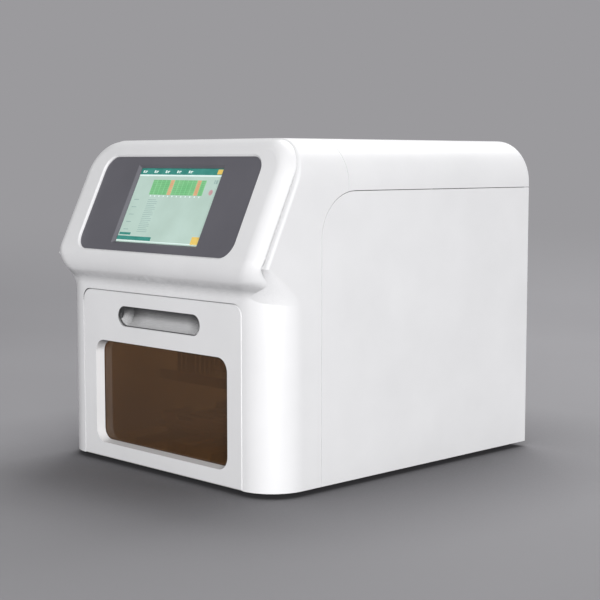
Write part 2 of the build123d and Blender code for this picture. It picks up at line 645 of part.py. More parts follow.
def door_shell():
    """Moulded door: a shallow tray with a drafted window tunnel, a scooped grip and hinge knuckles."""
    outline = door_outline(-SEAM / 2, -SEAM / 2, Z_EDGE)
    door = back_from(Y_FRONT, outline, DOOR_DEPTH)
    door = chamfer(door.faces().sort_by(Axis.Y)[0].edges(), DOOR_EDGE_BREAK)
    hollow = offset(outline, -WALL, kind=Kind.INTERSECTION)
    door -= back_from(Y_FRONT + WALL, hollow, DOOR_DEPTH)
    door += back_from(Y_FRONT + WALL - 0.5, window_outline(RIM_WALL), WINDOW_RECESS - WALL + 0.5)
    tunnel = loft([front_plane(Y_FRONT - 0.01) * window_outline(0),
                   front_plane(Y_FRONT + WINDOW_RECESS + 0.01) * window_outline(-WINDOW_DRAFT)])
    door -= tunnel
    inside = block(-DOOR_HALF, DOOR_HALF, Y_FRONT + 1, Y_DOOR_BACK, Z_EDGE, Z_EDGE + DOOR_TOP)
    half = (GRIP_WIDTH - GRIP_HEIGHT) / 2 + GRIP_SCOOP_END + GRIP_WALL
    housing = x_rod(Y_FRONT, Z_EDGE + GRIP_CENTRE + GRIP_SCOOP_RISE, -half, half, GRIP_SCOOP_RADIUS + GRIP_WALL)
    door += housing & inside
    door -= back_from(Y_FRONT - 1, grip_outline(0), WALL + 1)
    door -= grip_scoop() & block(-DOOR_HALF, DOOR_HALF, Y_FRONT + WALL - 0.01, Y_DOOR_BACK, Z_EDGE, Z_TOP)
    x0 = HINGE_X + HINGE_EAR + HINGE_GAP
    x1 = x0 + HINGE_KNUCKLE_LENGTH
    knuckle = x_rod(Y_HINGE, Z_HINGE, x0, x1, HINGE_KNUCKLE_RADIUS)
    knuckle += block(x0, x1, Y_FRONT + WALL - 0.5, Y_HINGE, Z_EDGE + WALL - 0.5, Z_HINGE)
    knuckle -= x_rod(Y_HINGE, Z_HINGE, x0 - 1, x1 - 1, HINGE_PIN_RADIUS + SCREW_CLEARANCE)
    for x in (-60, 0, 60):
        door += block(x - 0.9, x + 0.9, Y_FRONT + WALL - 0.5, Y_DOOR_BACK - LINER_THICKNESS - FIT_GAP,
                      Z_EDGE + WALL - 0.5, Z_EDGE + WINDOW_BOTTOM - WINDOW_OVERLAP)
    door += knuckle
    door += mirrored(knuckle)
    return door - hinge_notches()


def pane_outline():
    """Front view of the window pane, with its clamped border."""
    grow = WINDOW_OVERLAP - WINDOW_DRAFT
    middle = Z_EDGE + WINDOW_BOTTOM + WINDOW_HEIGHT / 2
    outline = cut_corners(WINDOW_WIDTH + 2 * grow, WINDOW_HEIGHT + 2 * grow, (WINDOW_RADIUS + grow) / 2)
    return Pos(0, middle) * outline


def window_gasket():
    """Rubber frame between the tunnel and the pane."""
    ring = pane_outline() - window_outline(0)
    return back_from(Y_FRONT + WINDOW_RECESS, ring, GASKET_THICKNESS)


def window_pane():
    """Smoked acrylic pane."""
    return back_from(Y_FRONT + WINDOW_RECESS + GASKET_THICKNESS, pane_outline(), PANE_THICKNESS)


def magnet_outline(grow):
    """Front view of the right-hand closing magnet."""
    z = Z_EDGE + DOOR_TOP - LIP_WIDTH + MAGNET_WIDTH / 2
    return Pos(MAGNET_X, z) * Rectangle(MAGNET_LENGTH + 2 * grow, MAGNET_WIDTH + 2 * grow)


def door_liner():
    """Inner face of the door: it holds the pane and the magnets."""
    outline = door_outline(-SEAM / 2 - WALL - FIT_GAP, -SEAM / 2 - WALL - FIT_GAP, Z_EDGE + WALL + FIT_GAP)
    liner = back_from(Y_DOOR_BACK - LINER_THICKNESS, outline, LINER_THICKNESS)
    liner -= back_from(Y_FRONT, window_outline(0), DOOR_DEPTH + 1)
    grip = Pos(0, Z_EDGE + GRIP_CENTRE) * Rectangle(GRIP_WIDTH, GRIP_HEIGHT)
    liner -= back_from(Y_FRONT, grip, DOOR_DEPTH + 1)
    pocket = back_from(Y_DOOR_BACK - 2, magnet_outline(0.1), 3)
    liner -= pocket + mirrored(pocket)
    knuckle_room = block(HINGE_X, DOOR_HALF, Y_FRONT, Y_DOOR_BACK, 0, Z_HINGE + 8)
    return liner - hinge_notches() - knuckle_room - mirrored(knuckle_room)


def door_magnets():
    """Two bar magnets flush with the liner."""
    return both_sides(back_from(Y_DOOR_BACK - 2, magnet_outline(0), 2))


def magnet_catches():
    """Two steel strips on the door stop."""
    return both_sides(back_from(Y_STOP - SEAL_HEIGHT, magnet_outline(0), SEAL_HEIGHT))


def door_seal():
    """Rubber seal on the stop, up both sides and across the top."""
    edge = SEAM / 2
    low = Z_HINGE + HINGE_INSET + 1.5
    strip = door_outline(-edge - 1, -edge - 1, low) - door_outline(-edge - 1 - SEAL_WIDTH, -edge - 1 - SEAL_WIDTH,
                                                                   low - 5)
    return back_from(Y_STOP - SEAL_HEIGHT, strip, SEAL_HEIGHT)


def hinge_brackets():
    """Two brackets on the pan, each an ear for the pin with a foot beside it."""
    ear = Polyline((Y_HINGE, Z_HINGE - 5.5), (Y_PAN + 16, Z_HINGE - 5.5), (Y_PAN + 16, Z_HINGE + 3),
                   (Y_HINGE, Z_HINGE + 5.5), close=True)
    profile = make_face(ear) + Pos(Y_HINGE, Z_HINGE) * Circle(5.5)
    profile += Pos(Y_PAN + 10, Z_PAN + 2.5) * Rectangle(12, 5)
    bracket = extrude(side_plane(HINGE_X) * profile, HINGE_EAR)
    bracket += block(HINGE_X - 19, HINGE_X, Y_PAN + 4, Y_PAN + 16, Z_PAN, Z_PAN + 2)
    bracket -= x_rod(Y_HINGE, Z_HINGE, HINGE_X - 1, HINGE_X + 5, HINGE_PIN_RADIUS)
    bracket -= z_prism(HINGE_X - 11, Y_PAN + 10, 0, Z_PAN + 5, 2.2)
    return both_sides(bracket)


def hinge_pins():
    """Two steel pins, pressed into the ears."""
    x1 = HINGE_X + HINGE_EAR + HINGE_GAP + HINGE_KNUCKLE_LENGTH - 1.5
    return both_sides(x_rod(Y_HINGE, Z_HINGE, HINGE_X - 1, x1, HINGE_PIN_RADIUS))


# ------------------------------------------------------------- chamber
def chamber_floor():
    """Folded floor plate with two legs down to the pan."""
    middle = CHAMBER_HALF_WIDTH - CHAMBER_SHEET / 2
    level = CHAMBER_FLOOR - CHAMBER_SHEET / 2
    fold = Polyline((-middle, Z_PAN), (-middle, level), (middle, level), (middle, Z_PAN))
    floor = back_from(Y_PAN + 1, trace(fold, CHAMBER_SHEET), CHAMBER_DEPTH - 1)
    return floor & block(-HALF_WIDTH, HALF_WIDTH, Y_PAN, Y_CHAMBER_BACK, Z_PAN, CHAMBER_FLOOR)


def chamber_wall():
    """Right wall of the chamber."""
    wall = block(CHAMBER_HALF_WIDTH, CHAMBER_HALF_WIDTH + CHAMBER_SHEET, Y_PAN, Y_CHAMBER_BACK,
                 Z_PAN, CHAMBER_CEILING)
    return fillet(wall.edges().filter_by(Axis.X).group_by(Axis.Z)[-1].sort_by(Axis.Y)[:1], 8)


def chamber_back():
    """Back wall of the chamber, with a hole for the stage screw."""
    back = block(-CHAMBER_HALF_WIDTH, CHAMBER_HALF_WIDTH, Y_CHAMBER_BACK - CHAMBER_SHEET, Y_CHAMBER_BACK,
                 CHAMBER_FLOOR, CHAMBER_CEILING)
    return back - y_rod(0, Z_STAGE_SCREW, Y_CHAMBER_BACK - 5, Y_CHAMBER_BACK + 5, SCREW_RADIUS + SCREW_HOLE)


def chamber_ceiling():
    """Ceiling over the front of the chamber, with a stiffening fold at its rear edge."""
    level = CHAMBER_CEILING + CHAMBER_SHEET / 2
    fold = Polyline((Y_PAN, level), (Y_PAN + CEILING_DEPTH, level),
                    (Y_PAN + CEILING_DEPTH, level + CEILING_FOLD))
    half = CHAMBER_HALF_WIDTH + CHAMBER_SHEET
    return extrude(side_plane(-half) * trace(fold, CHAMBER_SHEET), 2 * half)


def uv_lamp():
    """Tubular ultraviolet lamp with two metal end caps."""
    y = Y_PAN + LAMP_SETBACK
    z = CHAMBER_CEILING - LAMP_DROP
    half = LAMP_LENGTH / 2
    tube = x_rod(y, z, -half, half, LAMP_RADIUS - LAMP_GLASS)
    left_cap = x_rod(y, z, -half, -half + LAMP_CAP, LAMP_RADIUS)
    right_cap = x_rod(y, z, half - LAMP_CAP, half, LAMP_RADIUS)
    return tube + left_cap + right_cap


def lamp_holders():
    """Two sockets that carry the lamp under the ceiling."""
    y = Y_PAN + LAMP_SETBACK
    z = CHAMBER_CEILING - LAMP_DROP
    x0 = LAMP_LENGTH / 2 - LAMP_SOCKET
    half = LAMP_RADIUS + LAMP_WALL
    profile = Pos(y, (z - half + CHAMBER_CEILING) / 2) * Rectangle(2 * half, CHAMBER_CEILING - z + half)
    profile = chamfer(profile.vertices().group_by(Axis.Z)[0], LAMP_WALL)
    holder = extrude(side_plane(x0) * profile, LAMP_SOCKET + LAMP_WALL + 2)
    holder -= x_rod(y, z, x0 - 1, LAMP_LENGTH / 2 + LAMP_GAP, LAMP_RADIUS + LAMP_GAP)
    return both_sides(holder)


# ------------------------------------------------------------- guides and drives
def stage_rails():
    """Two hardened rails on the chamber floor."""
    groove = 1.2
    profile = Rectangle(RAIL_WIDTH, RAIL_HEIGHT)
    for x in (-RAIL_WIDTH / 2, RAIL_WIDTH / 2):
        profile -= Pos(x, 0.6) * Circle(groove)
    seated = Pos(STAGE_RAIL_X, CHAMBER_FLOOR + RAIL_HEIGHT / 2) * profile
    rail = back_from(Y_PAN + 4, seated, STAGE_DEPTH + STAGE_SPARE)
    return both_sides(rail)


def guide_profile():
    """End view of a guide block over its rail, its seat at the sketch's origin."""
    top = GUIDE_LIFT + GUIDE_HEIGHT
    body = Pos(0, (GUIDE_LIFT + top) / 2) * Rectangle(GUIDE_WIDTH, GUIDE_HEIGHT)
    body = chamfer(body.vertices().group_by(Axis.Y)[0], 1.5)
    groove = Rectangle(RAIL_WIDTH + 2 * FIT_GAP, 2 * (RAIL_HEIGHT + FIT_GAP))
    return body - groove


def stage_guides():
    """Four guide blocks under the stage."""
    blocks = []
    for x in (-STAGE_RAIL_X, STAGE_RAIL_X):
        for y in (Y_STAGE + 6, Y_STAGE + STAGE_DEPTH - 6 - GUIDE_LENGTH):
            blocks.append(back_from(y, Pos(x, CHAMBER_FLOOR) * guide_profile(), GUIDE_LENGTH).solid())
    return Compound(blocks)


def stage_plate():
    """Machined stage plate with a broken upper edge."""
    outline = RectangleRounded(STAGE_WIDTH, STAGE_DEPTH, 5)
    plate = Pos(0, Y_STAGE_MIDDLE, Z_STAGE) * extrude(outline, STAGE_THICKNESS)
    plate = chamfer(plate.faces().sort_by(Axis.Z)[-1].edges(), 0.8)
    return plate


def stage_nut():
    """Nut block under the stage, on its screw."""
    nut = block(-13, 13, Y_STAGE_MIDDLE - 14, Y_STAGE_MIDDLE + 14, Z_STAGE - 12.4, Z_STAGE)
    nut = chamfer(nut.edges().filter_by(Axis.Y).group_by(Axis.Z)[0], 3)
    return nut - y_rod(0, Z_STAGE_SCREW, Y_STAGE, Y_STAGE + STAGE_DEPTH, SCREW_RADIUS + SCREW_CLEARANCE)


def heater_blocks():
    """Two aluminium heater blocks with a shallow pocket for each pair of well rows."""
    width = PLATE_WIDTH - 6
    depth = PLATE_DEPTH - 6
    heater = Pos(PLATE_X, Y_STAGE_MIDDLE, Z_STAGE_TOP) * extrude(cut_corners(width, depth, 3), HEATER_HEIGHT)
    top = Z_STAGE_TOP + HEATER_HEIGHT
    for row in range(-3, 4):
        y = Y_STAGE_MIDDLE + 2 * row * ROD_PITCH
        heater -= Pos(PLATE_X, y, top) * extrude(Rectangle(width - 10, 7), 2, both=True)
    return both_sides(heater)


def plate_nests():
    """Two frames that locate the well plates, notched at the middle of each side for the fingers."""
    inner_width = PLATE_WIDTH + 2 * NEST_CLEARANCE
    inner_depth = PLATE_DEPTH + 2 * NEST_CLEARANCE
    ring = cut_corners(inner_width + 2 * NEST_WALL, inner_depth + 2 * NEST_WALL, 3)
    ring -= Rectangle(inner_width, inner_depth)
    nest = Pos(PLATE_X, Y_STAGE_MIDDLE, Z_STAGE_TOP) * extrude(ring, NEST_HEIGHT)
    notch_z = Z_STAGE_TOP + NEST_HEIGHT
    notch = Pos(Y_STAGE_MIDDLE, notch_z) * cut_corners(NOTCH_LENGTH, NOTCH_HEIGHT, NOTCH_CHAMFER)
    nest -= extrude(side_plane(0) * notch, 2 * PLATE_X)
    cross = Pos(PLATE_X, notch_z) * cut_corners(NOTCH_WIDTH, NOTCH_HEIGHT, NOTCH_CHAMFER)
    nest -= back_from(Y_STAGE, cross, STAGE_DEPTH)
    return both_sides(nest)


def stage_screw():
    """Lead screw of the stage."""
    return y_rod(0, Z_STAGE_SCREW, Y_PAN + 5, Y_CHAMBER_BACK + 5, SCREW_RADIUS)


def stage_bearing():
    """Front bearing block of the stage screw."""
    y = Y_PAN + 6
    face = Pos(0, (CHAMBER_FLOOR + Z_STAGE - 0.6) / 2) * Rectangle(34, Z_STAGE - 0.6 - CHAMBER_FLOOR)
    face = chamfer(face.vertices().group_by(Axis.Y)[-1], 2)
    bearing = back_from(y, face, 8)
    return bearing - y_rod(0, Z_STAGE_SCREW, y - 1, y + 9, SCREW_RADIUS + SCREW_CLEARANCE)


def motor(size, length):
    """Stepper motor seen from its shaft end: chamfered stack between two end bells."""
    frame = chamfer(Rectangle(size, size).vertices(), 4)
    stack = chamfer(Rectangle(size - 1.6, size - 1.6).vertices(), 4.5)
    body = extrude(frame, -9)
    body += Pos(0, 0, -9) * extrude(stack, -(length - 18))
    body += Pos(0, 0, -(length - 9)) * extrude(frame, -9)
    return body


def stage_motor():
    """Motor of the stage, on the rear of the chamber's back wall."""
    place = front_plane(Y_CHAMBER_BACK) * Pos(0, Z_STAGE_SCREW)
    drive = place * motor(MOTOR_SIZE, MOTOR_LENGTH)
    return drive - y_rod(0, Z_STAGE_SCREW, Y_CHAMBER_BACK - 1, Y_CHAMBER_BACK + 6, SCREW_RADIUS + SCREW_CLEARANCE)


def lift_tower():
    """Upright plate that carries the lift's rails, with a shelf for its motor on top."""
    half = TOWER_WIDTH / 2
    face = Pos(0, (CHAMBER_FLOOR + TOWER_TOP) / 2) * Rectangle(TOWER_WIDTH, TOWER_TOP - CHAMBER_FLOOR)
    for level in range(TOWER_WINDOWS):
        z = CHAMBER_FLOOR + (TOWER_TOP - CHAMBER_FLOOR) * (level + 1.45) / (TOWER_WINDOWS + 1)
        face -= Pos(0, z) * cut_corners(TOWER_WINDOW, TOWER_WINDOW + 4, 6)
    tower = back_from(Y_TOWER, face, TOWER_THICKNESS)
    tower -= block(-12, 12, Y_TOWER - 1, Y_TOWER + TOWER_THICKNESS + 1, 0, Z_STAGE_SCREW + 12)
    shelf = block(-half, half, Y_TOWER - 34, Y_TOWER + TOWER_THICKNESS, TOWER_TOP, TOWER_TOP + 6)
    shelf -= z_rod(0, Y_LIFT_SCREW, TOWER_TOP - 1, TOWER_TOP + 7, SCREW_RADIUS + 1.5)
    foot_end = STAGE_RAIL_X - GUIDE_WIDTH / 2 - 4
    foot = block(-foot_end, -20, Y_TOWER - 14, Y_TOWER, CHAMBER_FLOOR, CHAMBER_FLOOR + TOWER_THICKNESS)
    return tower + shelf + foot + mirrored(foot)


def lift_rails():
    """Two upright rails on the tower."""
    rail = block(LIFT_RAIL_X - RAIL_WIDTH / 2, LIFT_RAIL_X + RAIL_WIDTH / 2, Y_LIFT_RAIL, Y_TOWER,
                 LIFT_RAIL_FOOT, TOWER_TOP - LIFT_RAIL_STOP)
    return both_sides(chamfer(rail.edges().filter_by(Axis.Z).group_by(Axis.Y)[0], 1))


def lift_motor():
    """Motor of the lift, on the tower's shelf, shaft down."""
    place = Plane((0, Y_LIFT_SCREW, TOWER_TOP + 6), x_dir=(1, 0, 0), z_dir=(0, 0, -1))
    drive = place * motor(LIFT_MOTOR_SIZE, LIFT_MOTOR_LENGTH)
    return drive - z_rod(0, Y_LIFT_SCREW, TOWER_TOP, TOWER_TOP + 12, SCREW_RADIUS + SCREW_CLEARANCE)


def lift_bearing():
    """Lower bearing block of the lift screw, on the tower."""
    top = CARRIER_BOTTOM - BEARING_DROP
    half = BEARING_WIDTH / 2
    bearing = block(-half, half, Y_LIFT_SCREW - BEARING_FRONT, Y_TOWER, top - BEARING_HEIGHT, top)
    bearing = chamfer(bearing.edges().filter_by(Axis.Z).group_by(Axis.Y)[0], 2)
    return bearing - z_rod(0, Y_LIFT_SCREW, top - BEARING_HEIGHT - 1, top + 1, SCREW_RADIUS + SCREW_CLEARANCE)


def lift_screw():
    """Lead screw of the lift."""
    screw = z_rod(0, Y_LIFT_SCREW, CARRIER_BOTTOM - LIFT_SCREW_FOOT, TOWER_TOP + LIFT_SCREW_END,
                  SCREW_RADIUS)
    return chamfer(screw.edges().group_by(Axis.Z)[0], 0.8)


def comb_slots():
    """Four slots in the sleeve carrier, one for each row of sleeves."""
    slots = Sketch()
    for x in (-PLATE_X, PLATE_X):
        for row in range(2):
            slot = cut_corners(SLOT_LENGTH, SLOT_WIDTH, SLOT_WIDTH / 4)
            slots += Pos(x, Y_ROD_ROW + row * ROD_ROW_SPACING) * slot
    return slots


def sleeve_carrier():
    """L-shaped carriage: a slotted shelf for the sleeves, a back plate, two gussets and a motor shelf."""
    half = CARRIER_WIDTH / 2
    back_half = CARRIER_BACK_WIDTH / 2
    front = Y_FRONT + CARRIER_FRONT
    back = Y_LIFT_PLATE
    outline = Polyline((-half, front), (half, front), (half, Y_ROD_GUIDE + 40), (back_half, back),
                       (-back_half, back), (-half, Y_ROD_GUIDE + 40), close=True)
    shelf = make_face(outline) - comb_slots()
    carrier = Pos(0, 0, CARRIER_BOTTOM) * extrude(shelf, CARRIER_THICKNESS)
    carrier += block(-half, half, front, front + 3, CARRIER_BOTTOM, Z_CARRIER_TOP + 6)
    carrier += block(-back_half, back_half, back - 6, back, CARRIER_BOTTOM, Z_CARRIER_BACK)
    rib = Polyline((back - 70, Z_CARRIER_TOP - 1), (back - 1, Z_CARRIER_TOP - 1),
                   (back - 1, Z_CARRIER_BACK - 12),
                   (back - 12, Z_CARRIER_BACK - 12), close=True)
    gusset = extrude(side_plane(back_half - 3) * make_face(rib), 3)
    carrier += gusset
    carrier += mirrored(gusset)
    carrier += block(-24, 24, Y_ROD_SCREW - 20, back, Z_CARRIER_BACK - 6, Z_CARRIER_BACK)
    carrier -= z_prism(0, Y_ROD_SCREW, Z_CARRIER_BACK - 8, Z_CARRIER_BACK + 1, ROD_SCREW_RADIUS + 1.5)
    carrier -= z_rod(0, Y_ROD_SCREW, 0, Z_CARRIER_TOP + 1, ROD_SCREW_RADIUS + SCREW_CLEARANCE)
    window = Pos(0, (Z_CARRIER_TOP + Z_CARRIER_BACK) / 2 - 14) * cut_corners(44, 46, 6)
    return carrier - back_from(back - 8, window, 20)


def lift_guides():
    """Four guide blocks and the lift's nut, on the back of the carriage."""
    place = Plane((0, Y_TOWER, 0), x_dir=(1, 0, 0), z_dir=(0, 0, 1))
    turned = mirror(guide_profile(), Plane.XZ)
    blocks = []
    for x in (-LIFT_RAIL_X, LIFT_RAIL_X):
        for z in (CARRIER_BOTTOM + 4, Z_CARRIER_BACK - 4 - GUIDE_LENGTH):
            blocks.append((place * Pos(x, 0, z) * extrude(turned, GUIDE_LENGTH)).solid())
    return Compound(blocks)


def lift_nut():
    """Nut of the lift screw, bolted to the carriage above its window."""
    z = Z_CARRIER_BACK - 24
    nut = block(-12, 12, Y_LIFT_PLATE, Y_TOWER - 1.5, z, z + 20)
    nut = chamfer(nut.edges().filter_by(Axis.Z).group_by(Axis.Y)[-1], 3)
    return nut - z_rod(0, Y_LIFT_SCREW, z - 1, z + 21, SCREW_RADIUS + SCREW_CLEARANCE)


def rod_motor():
    """Motor of the rod head, on the carriage's shelf, shaft down."""
    place = Plane((0, Y_ROD_SCREW, Z_CARRIER_BACK), x_dir=(1, 0, 0), z_dir=(0, 0, -1))
    drive = place * motor(MOTOR_SIZE, MOTOR_LENGTH)
    drive &= block(-50, 50, Y_ROD_SCREW - 50, Y_LIFT_PLATE + 40, 0, Z_TOP)
    return drive - z_rod(0, Y_ROD_SCREW, Z_CARRIER_BACK - 1, Z_CARRIER_BACK + 6, ROD_SCREW_RADIUS + SCREW_CLEARANCE)


def rod_guides():
    """Two upright shafts on the carriage's shelf."""
    shaft = z_rod(ROD_GUIDE_X, Y_ROD_GUIDE, Z_CARRIER_TOP, Z_ROD_PLATE + ROD_GUIDE_REACH, ROD_GUIDE_RADIUS)
    collar = z_prism(ROD_GUIDE_X, Y_ROD_GUIDE, Z_CARRIER_TOP, Z_CARRIER_TOP + 2, ROD_GUIDE_RADIUS + 4)
    return both_sides(shaft + collar)


def rod_plate():
    """Plate that carries the magnetic rods, with a tongue back to its nut."""
    front = Y_ROD_ROW - 10
    rear = Y_ROD_ROW + ROD_ROW_SPACING + 10
    outline = Pos(0, (front + rear) / 2) * cut_corners(ROD_PLATE_WIDTH, rear - front, 4)
    tongue = Pos(0, (rear + Y_ROD_SCREW + 12) / 2 - 5) * cut_corners(44, Y_ROD_SCREW + 22 - rear, 6)
    outline += tongue
    for x in (-PLATE_X, PLATE_X):
        outline -= Pos(x, Y_ROD_GUIDE) * cut_corners(60, 30, 5)
    plate = Pos(0, 0, Z_ROD_PLATE) * extrude(outline, ROD_PLATE_THICKNESS)
    for x in (-ROD_GUIDE_X, ROD_GUIDE_X):
        plate -= z_prism(x, Y_ROD_GUIDE, Z_ROD_PLATE - 1, Z_ROD_PLATE + 9, ROD_GUIDE_RADIUS + 3)
    return plate - z_prism(0, Y_ROD_SCREW, Z_ROD_PLATE - 1, Z_ROD_PLATE + 9, ROD_SCREW_RADIUS + 3)


def magnetic_rods():
    """Magnetic rods in two double rows of eight, each an eight-sided prism."""
    rod = Pos(0, 0, -ROD_LENGTH / 2) * extrude(RegularPolygon(ROD_RADIUS, ROD_SIDES), ROD_LENGTH)
    rods = []
    for x in (-PLATE_X, PLATE_X):
        for row in range(2):
            for place in range(ROD_COUNT):
                across = x + (place - (ROD_COUNT - 1) / 2) * ROD_PITCH
                along = Y_ROD_ROW + row * ROD_ROW_SPACING
                rods.append((Pos(across, along, Z_ROD_PLATE - ROD_LENGTH / 2) * rod).solid())
    return Compound(rods)


def rod_bushes():
    """Two guide bushes and the nut of the rod head."""
    def bush(x, y, radius, drop):
        z0 = Z_ROD_PLATE - drop
        z1 = Z_ROD_PLATE + ROD_PLATE_THICKNESS + 3
        sleeve = z_prism(x, y, z0, z1, radius + 3) + z_prism(x, y, z1 - 3, z1, radius + 6)
        return sleeve - z_rod(x, y, z0 - 1, z1 + 1, radius + SCREW_CLEARANCE / 2)

    return Compound([bush(-ROD_GUIDE_X, Y_ROD_GUIDE, ROD_GUIDE_RADIUS, 3).solid(),
                     bush(ROD_GUIDE_X, Y_ROD_GUIDE, ROD_GUIDE_RADIUS, 3).solid(),
                     bush(0, Y_ROD_SCREW, ROD_SCREW_RADIUS, 4).solid()])


def rod_screw():
    """Lead screw of the rod head."""
    return z_rod(0, Y_ROD_SCREW, CARRIER_BOTTOM + 1, Z_CARRIER_BACK + 5, ROD_SCREW_RADIUS)


# ------------------------------------------------------------- rear panel and electronics
def rear_panel():
    """Steel rear panel with slots, a fan hole and cut-outs for the inlet, the switch and the ports."""
    half = HALF_WIDTH - WALL - FIT_GAP
    top = Z_TOP - WALL - FIT_GAP
    panel = arch(half, top, Z_PAN - PAN_THICKNESS, TOP_EDGE_RADIUS - WALL - FIT_GAP, Y_REAR_INNER, Y_REAR_PANEL)
    holes = Pos(FAN_X, FAN_Z) * RegularPolygon(FAN_BORE_RADIUS, FAN_SIDES)
    for row in range(VENT_COUNT):
        z = VENT_Z + (row - (VENT_COUNT - 1) / 2) * VENT_PITCH
        for x in (-VENT_LENGTH / 2 - 4, VENT_LENGTH / 2 + 4):
            holes += Pos(VENT_X + x, z) * Rectangle(VENT_LENGTH, VENT_WIDTH)
    holes += Pos(INLET_X, INLET_Z) * Rectangle(INLET_WIDTH - 4, INLET_HEIGHT - 4)
    holes += Pos(SWITCH_X, INLET_Z) * Rectangle(ROCKER_WIDTH + 3, ROCKER_HEIGHT + 3)
    z = Z_PAN + STANDOFF_HEIGHT + BOARD_THICKNESS
    holes += Pos(PORTS_X, z + 9) * Rectangle(66, 18)
    return panel - back_from(Y_REAR_INNER - 1, holes, SHEET + 2)


def fan_place():
    """Plane on the fan's outer end, against the rear panel, facing the rear."""
    return Plane((FAN_X, Y_REAR_INNER, FAN_Z), x_dir=(-1, 0, 0), z_dir=(0, 1, 0))


def fan_frame():
    """Square fan housing with four struts, a motor seat and its pin."""
    face = cut_corners(FAN_SIZE, FAN_SIZE, 4) - RegularPolygon(FAN_BORE_RADIUS, FAN_SIDES)
    for x in (-1, 1):
        for y in (-1, 1):
            face -= Pos(x * FAN_HOLE_X, y * FAN_HOLE_X) * RegularPolygon(2.2, 8)
    frame = extrude(face, -FAN_DEPTH)
    star = RegularPolygon(FAN_HUB_RADIUS - 1, FAN_SIDES)
    for turn in range(4):
        star += Rot(0, 0, 45 + 90 * turn) * Pos(FAN_BORE_RADIUS / 2 + 5, 0) * Rectangle(FAN_BORE_RADIUS - 6, 4)
    frame += extrude(star, -4)
    frame += extrude(Circle(FAN_PIN_RADIUS), -FAN_DEPTH + 4)
    return fan_place() * frame


def fan_rotor():
    """Rotor with seven pitched blades, running on the frame's pin."""
    depth = 16.0
    rotor = Pos(0, 0, -4.6) * extrude(RegularPolygon(FAN_HUB_RADIUS, FAN_SIDES), -depth)
    root = FAN_HUB_RADIUS - 1.5
    for turn in range(FAN_BLADES):
        plane = Plane((root, 0, -4.6 - depth / 2), x_dir=(0, cos(FAN_PITCH), sin(FAN_PITCH)), z_dir=(1, 0, 0))
        blade = extrude(plane * Rectangle(17, 1.4), FAN_BLADE_RADIUS - root - 2)
        rotor += Rot(0, 0, 360 / FAN_BLADES * turn) * blade
    rotor -= Cylinder(FAN_PIN_RADIUS + SCREW_CLEARANCE / 2, 200)
    return fan_place() * rotor


def fan_guard():
    """Pressed finger guard: rings joined by four arms."""
    face = cut_corners(FAN_SIZE, FAN_SIZE, 4)
    for radius in (15, 24, 33):
        face -= RegularPolygon(radius + 3.2, FAN_SIDES) - RegularPolygon(radius - 3.2, FAN_SIDES)
    arms = Sketch()
    for turn in range(4):
        arms += Rot(0, 0, 45 + 90 * turn) * Pos(FAN_BORE_RADIUS / 2 + 2, 0) * Rectangle(FAN_BORE_RADIUS, 3)
    face += arms
    guard = extrude(face, 1.2)
    return Plane((FAN_X, Y_REAR_PANEL, FAN_Z), x_dir=(-1, 0, 0), z_dir=(0, 1, 0)) * guard


def rear_place(x, z):
    """Plane on the rear panel's outer face, facing the rear."""
    return Plane((x, Y_REAR_PANEL, z), x_dir=(-1, 0, 0), z_dir=(0, 1, 0))


def ac_inlet():
    """Mains inlet with its six-sided socket and three blades, and no cord in it."""
    flange = extrude(RectangleRounded(INLET_WIDTH + 18, INLET_HEIGHT, 3), 2.5)
    body = extrude(Rectangle(INLET_WIDTH - 4.6, INLET_HEIGHT - 4.6), -INLET_DEPTH)
    socket = chamfer(Rectangle(23, 16).vertices().group_by(Axis.Y)[0], 4)
    inlet = flange + body - Pos(0, 0, 2.6) * extrude(socket, -17)
    for x, y in ((-6, -2), (6, -2), (0, 2)):
        inlet += Pos(x, y, -14.5) * extrude(Rectangle(2, 4), 12)
    return rear_place(INLET_X, INLET_Z) * inlet


def switch_frame():
    """Frame of the power switch, with a pin for its rocker."""
    frame = extrude(RectangleRounded(ROCKER_WIDTH + 7, ROCKER_HEIGHT + 7, 2), 2)
    frame += extrude(Rectangle(ROCKER_WIDTH + 2.6, ROCKER_HEIGHT + 2.6), -12)
    frame -= Pos(0, 0, 3) * extrude(Rectangle(ROCKER_WIDTH + 0.8, ROCKER_HEIGHT + 0.8), -13)
    pin = Rot(0, 90, 0) * Cylinder(1.2, ROCKER_WIDTH + 2)
    return rear_place(SWITCH_X, INLET_Z) * (frame + Pos(0, 0, -2) * pin)


def power_rocker():
    """Rocker with two hollowed faces, tipped to its off side."""
    half = ROCKER_HEIGHT / 2
    outline = Polyline((-half + 0.8, 2.4), (-half + 0.8, -4), (-4, -6), (4, -6), (half - 0.8, -4),
                       (half - 0.8, 2.4))
    dish = ThreePointArc((half - 0.8, 2.4), (0, 0.7), (-half + 0.8, 2.4))
    face = make_face(Curve() + [outline, dish])
    rocker = extrude(side_plane(0) * face, ROCKER_WIDTH / 2, both=True)
    rocker -= Pos(0, 0, -2) * Rot(0, 90, 0) * Cylinder(1.25, 100)
    rocker = Pos(0, 0, -2) * Rot(ROCKER_TILT, 0, 0) * Pos(0, 0, 2) * rocker
    return rear_place(SWITCH_X, INLET_Z) * rocker


